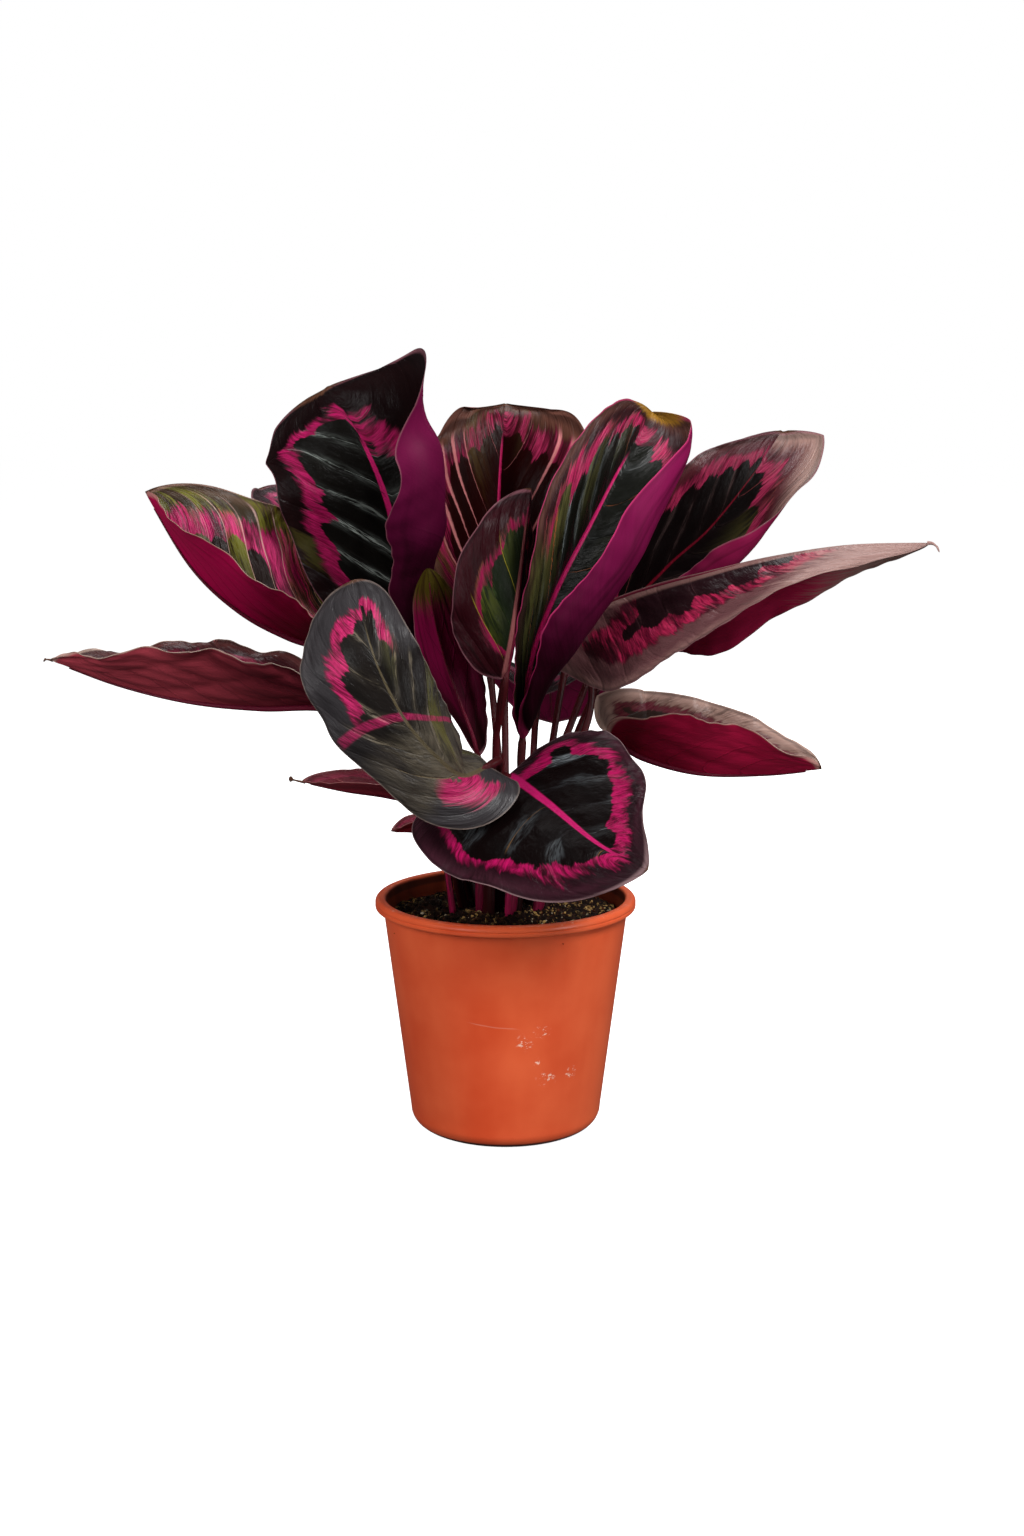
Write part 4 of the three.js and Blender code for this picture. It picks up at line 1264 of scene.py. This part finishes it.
    pucker = grainAt(lane * 2.4, away * 5, number + 13, 3, 0.55)
    height = hair * 0.7 + feather * 0.8 + pucker * 5 + fromVein.rise(0.0, 0.07) * 0.8
    roughness = 0.32 + cloud * 0.2 + feather * 0.14 + ring * 0.08
    feed(tree, out, {"Colour": colour, "Roughness": roughness, "Height": height})
    return tree


def driedTip(look, s, feather):
    # streaky start, then all of the tip's own tone
    start = look["TipStart"]
    length = 1 - start
    return (s + feather * length * 1.2).rise(start, start + length * 0.6)


def underPattern():
    # plain wine-red under side with the veins standing out, darkened towards the base as painted shade
    labels = ["Under", "Deep", "DeepTo", "Wrinkle", "Margin", "Tip", "TipStart", "Seed"]
    tree, look, out = newPattern("calatheaUnder", labels)
    tau, s, lane = readPlace(tree, "leafPlace")
    edge, _, halfWidth = readPlace(tree, "leafSpan")
    away = tau.size()
    number = tau.rise(-0.001, 0.001) * 9 + look["Seed"] * 4
    feather = grainAt(lane * 9, away * 2, number, 4, 0.65)
    cloud = grainAt(lane * 0.6, away * 2, number + 5, 3)
    fromVein = (lane - (lane + 0.5).calc("FLOOR")).size()
    # streaks and soft wrinkles along the leaf, and painted shade darkening it towards its base
    wrinkle = grainAt(tau * 7, s * 1.6, number + 2, 3, 0.6)
    ridge = fromVein.rise(0.06, 0.0) * away.rise(0.95, 0.3)
    colour = layer(
        look["Deep"],
        ((cloud * 0.4 + feather * 0.14 + s).rise(0.06, look["DeepTo"]), look["Under"]),
        (ridge * 0.25, look["Deep"]),
        ((edge * halfWidth).rise(0.9, 0.15, 0.6), look["Margin"]),
        (driedTip(look, s, feather), look["Tip"]),
        (wrinkle.rise(0.0, 0.24, look["Wrinkle"]), look["Deep"]),
    )
    height = feather * 0.6 + ridge * 1.2 + wrinkle * 2.5
    feed(tree, out, {"Colour": colour, "Roughness": 0.56 + cloud * 0.15 + feather * 0.1, "Height": height})
    return tree


def patternFinish(name, pattern, look, depth, shine):
    finish, tree = newFinish(name)
    group = addNode(tree, "ShaderNodeGroup", node_tree=pattern)
    for socket in group.inputs:
        value = look[socket.name]
        socket.default_value = paint(*value) if isinstance(value, tuple) else value
    setShader(tree, *(group.outputs[label] for label in ("Colour", "Roughness", "Height")), depth, shine)
    return finish


def stalkFinish():
    # dark red, magenta in the sheath near the soil, dull where it swells under the blade
    finish, tree = newFinish("leafStalk")
    turn, share, way = readPlace(tree, "leafPlace")
    pink = readPlace(tree, "leafSpan")[0]
    streak = grainAt((turn * fullTurn).calc("SINE") * 4, way * 0.04, 0, 4, 0.6)
    sheath = (way + streak * 40).rise(80, 34)
    mottle = (streak * 1.6 + 0.5).rise(0.1, 0.75)
    colour = layer(
        paint(40, 3, 6),
        ((streak + 0.5).rise(0.2, 0.8), paint(84, 12, 20)),
        (sheath * 0.85, paint(26, 5, 6)),
        (sheath * pink * mottle, paint(146, 20, 66)),
        (share.rise(0.86, 0.9) * share.rise(1.02, 1.0), paint(62, 12, 16)),
        (share.rise(1.0, 1.1, 0.7), paint(96, 12, 40)),
    )
    setShader(tree, colour, 0.42 + streak * 0.2, streak, 0.3 * mm, 0.3)
    return finish


def makeLeaves():
    upper = upperPattern()
    under = underPattern()
    stalk = stalkFinish()
    for number, (node, leaf) in enumerate(leaves.items()):
        first, *others = node.split("_")
        name = first + "".join(word.capitalize() for word in others)
        look = {**usualLook, **looks.get(node, {}), "Seed": number + 1.0}
        faces, faceFinish, points, places, spans = leafMesh(leaf, number)
        finishes = [
            patternFinish(name + "Upper", upper, look, 0.22 * mm, leaf.get("shine", bladeSet["shine"])),
            patternFinish(name + "Under", under, look, 0.2 * mm, bladeSet["underShine"]),
            stalk,
        ]
        piece = newPiece(name, points, faces, finishes, faceFinish, sharp=50)
        for label, values in (("leafPlace", places), ("leafSpan", spans)):
            data = piece.data.attributes.new(label, "FLOAT_VECTOR", "POINT")
            data.data.foreach_set("vector", np.ascontiguousarray(values, np.float32).ravel())
        keep(piece, node)


makeLeaves()
print("leaves grown:", len(leaves))


# Floor and soft studio light
studioSet = {"floorHalf": 15000, "ambient": 0.13, "shine": 0.05, "white": 1.0, "target": (0, 0, 0.24)}
lamps = {
    "keySoftbox": {"place": (0.75, -1.05, 1.3), "size": 0.6, "power": 26, "shines": True},
    "fillSoftbox": {"place": (-1.15, -0.8, 0.85), "size": 0.7, "power": 12, "shines": False},
    "topSoftbox": {"place": (-0.1, 0.4, 1.5), "size": 0.8, "power": 10, "shines": True},
    "rearSoftbox": {"place": (0.3, 1.5, 0.9), "size": 0.9, "power": 9, "shines": False},
    "leftStrip": {"place": (-0.69, -0.98, 0.32), "size": 0.14, "tall": 0.6, "power": 2.4, "shines": True},
    "rightStrip": {"place": (0.95, -0.74, 0.32), "size": 0.14, "tall": 0.6, "power": 3.4, "shines": True},
}


def makeStudio():
    white = (1, 1, 1, 1)
    finish, tree = newFinish("paleFloor")
    pale = {"Base Color": (0.8, 0.8, 0.8, 1), "Roughness": 0.9}
    glow = {"Emission Color": white, "Emission Strength": 0.9}
    feed(tree, tree.nodes["Principled BSDF"], {**pale, **glow})
    half = studioSet["floorHalf"]
    corners = [(-half, -half, 0), (half, -half, 0), (half, half, 0), (-half, half, 0)]
    floor = newPiece("studioFloor", corners, [(0, 1, 2, 3)], [finish])
    # the floor takes shadows and throws no light of its own up at the plant
    floor.visible_diffuse = False
    floor.visible_glossy = False
    for name, lamp in lamps.items():
        light = bpy.data.lights.new(name, "AREA")
        light.shape = "RECTANGLE"
        light.size = lamp["size"]
        light.size_y = lamp.get("tall", lamp["size"])
        light.energy = lamp["power"]
        holder = addObject(name, light)
        holder.location = lamp["place"]
        away = Vector(lamp["place"]) - Vector(studioSet["target"])
        holder.rotation_euler = away.to_track_quat("Z", "Y").to_euler()
        holder.visible_glossy = lamp["shines"]
    world = bpy.data.worlds.new("studio")
    bpy.context.scene.world = world
    world.use_nodes = True
    tree = world.node_tree
    # white where it is seen, softer where it lights
    rays = addNode(tree, "ShaderNodeLightPath").outputs
    ambient = studioSet["ambient"]
    lit = Wire(tree, rays["Is Glossy Ray"]) * (studioSet["shine"] - ambient) + ambient
    strength = Wire(tree, rays["Is Camera Ray"]) * (studioSet["white"] - lit) + lit
    feed(tree, tree.nodes["Background"], {"Color": white, "Strength": strength})
    bpy.context.scene.view_settings.view_transform = "Standard"


makeStudio()
print("studio lit")
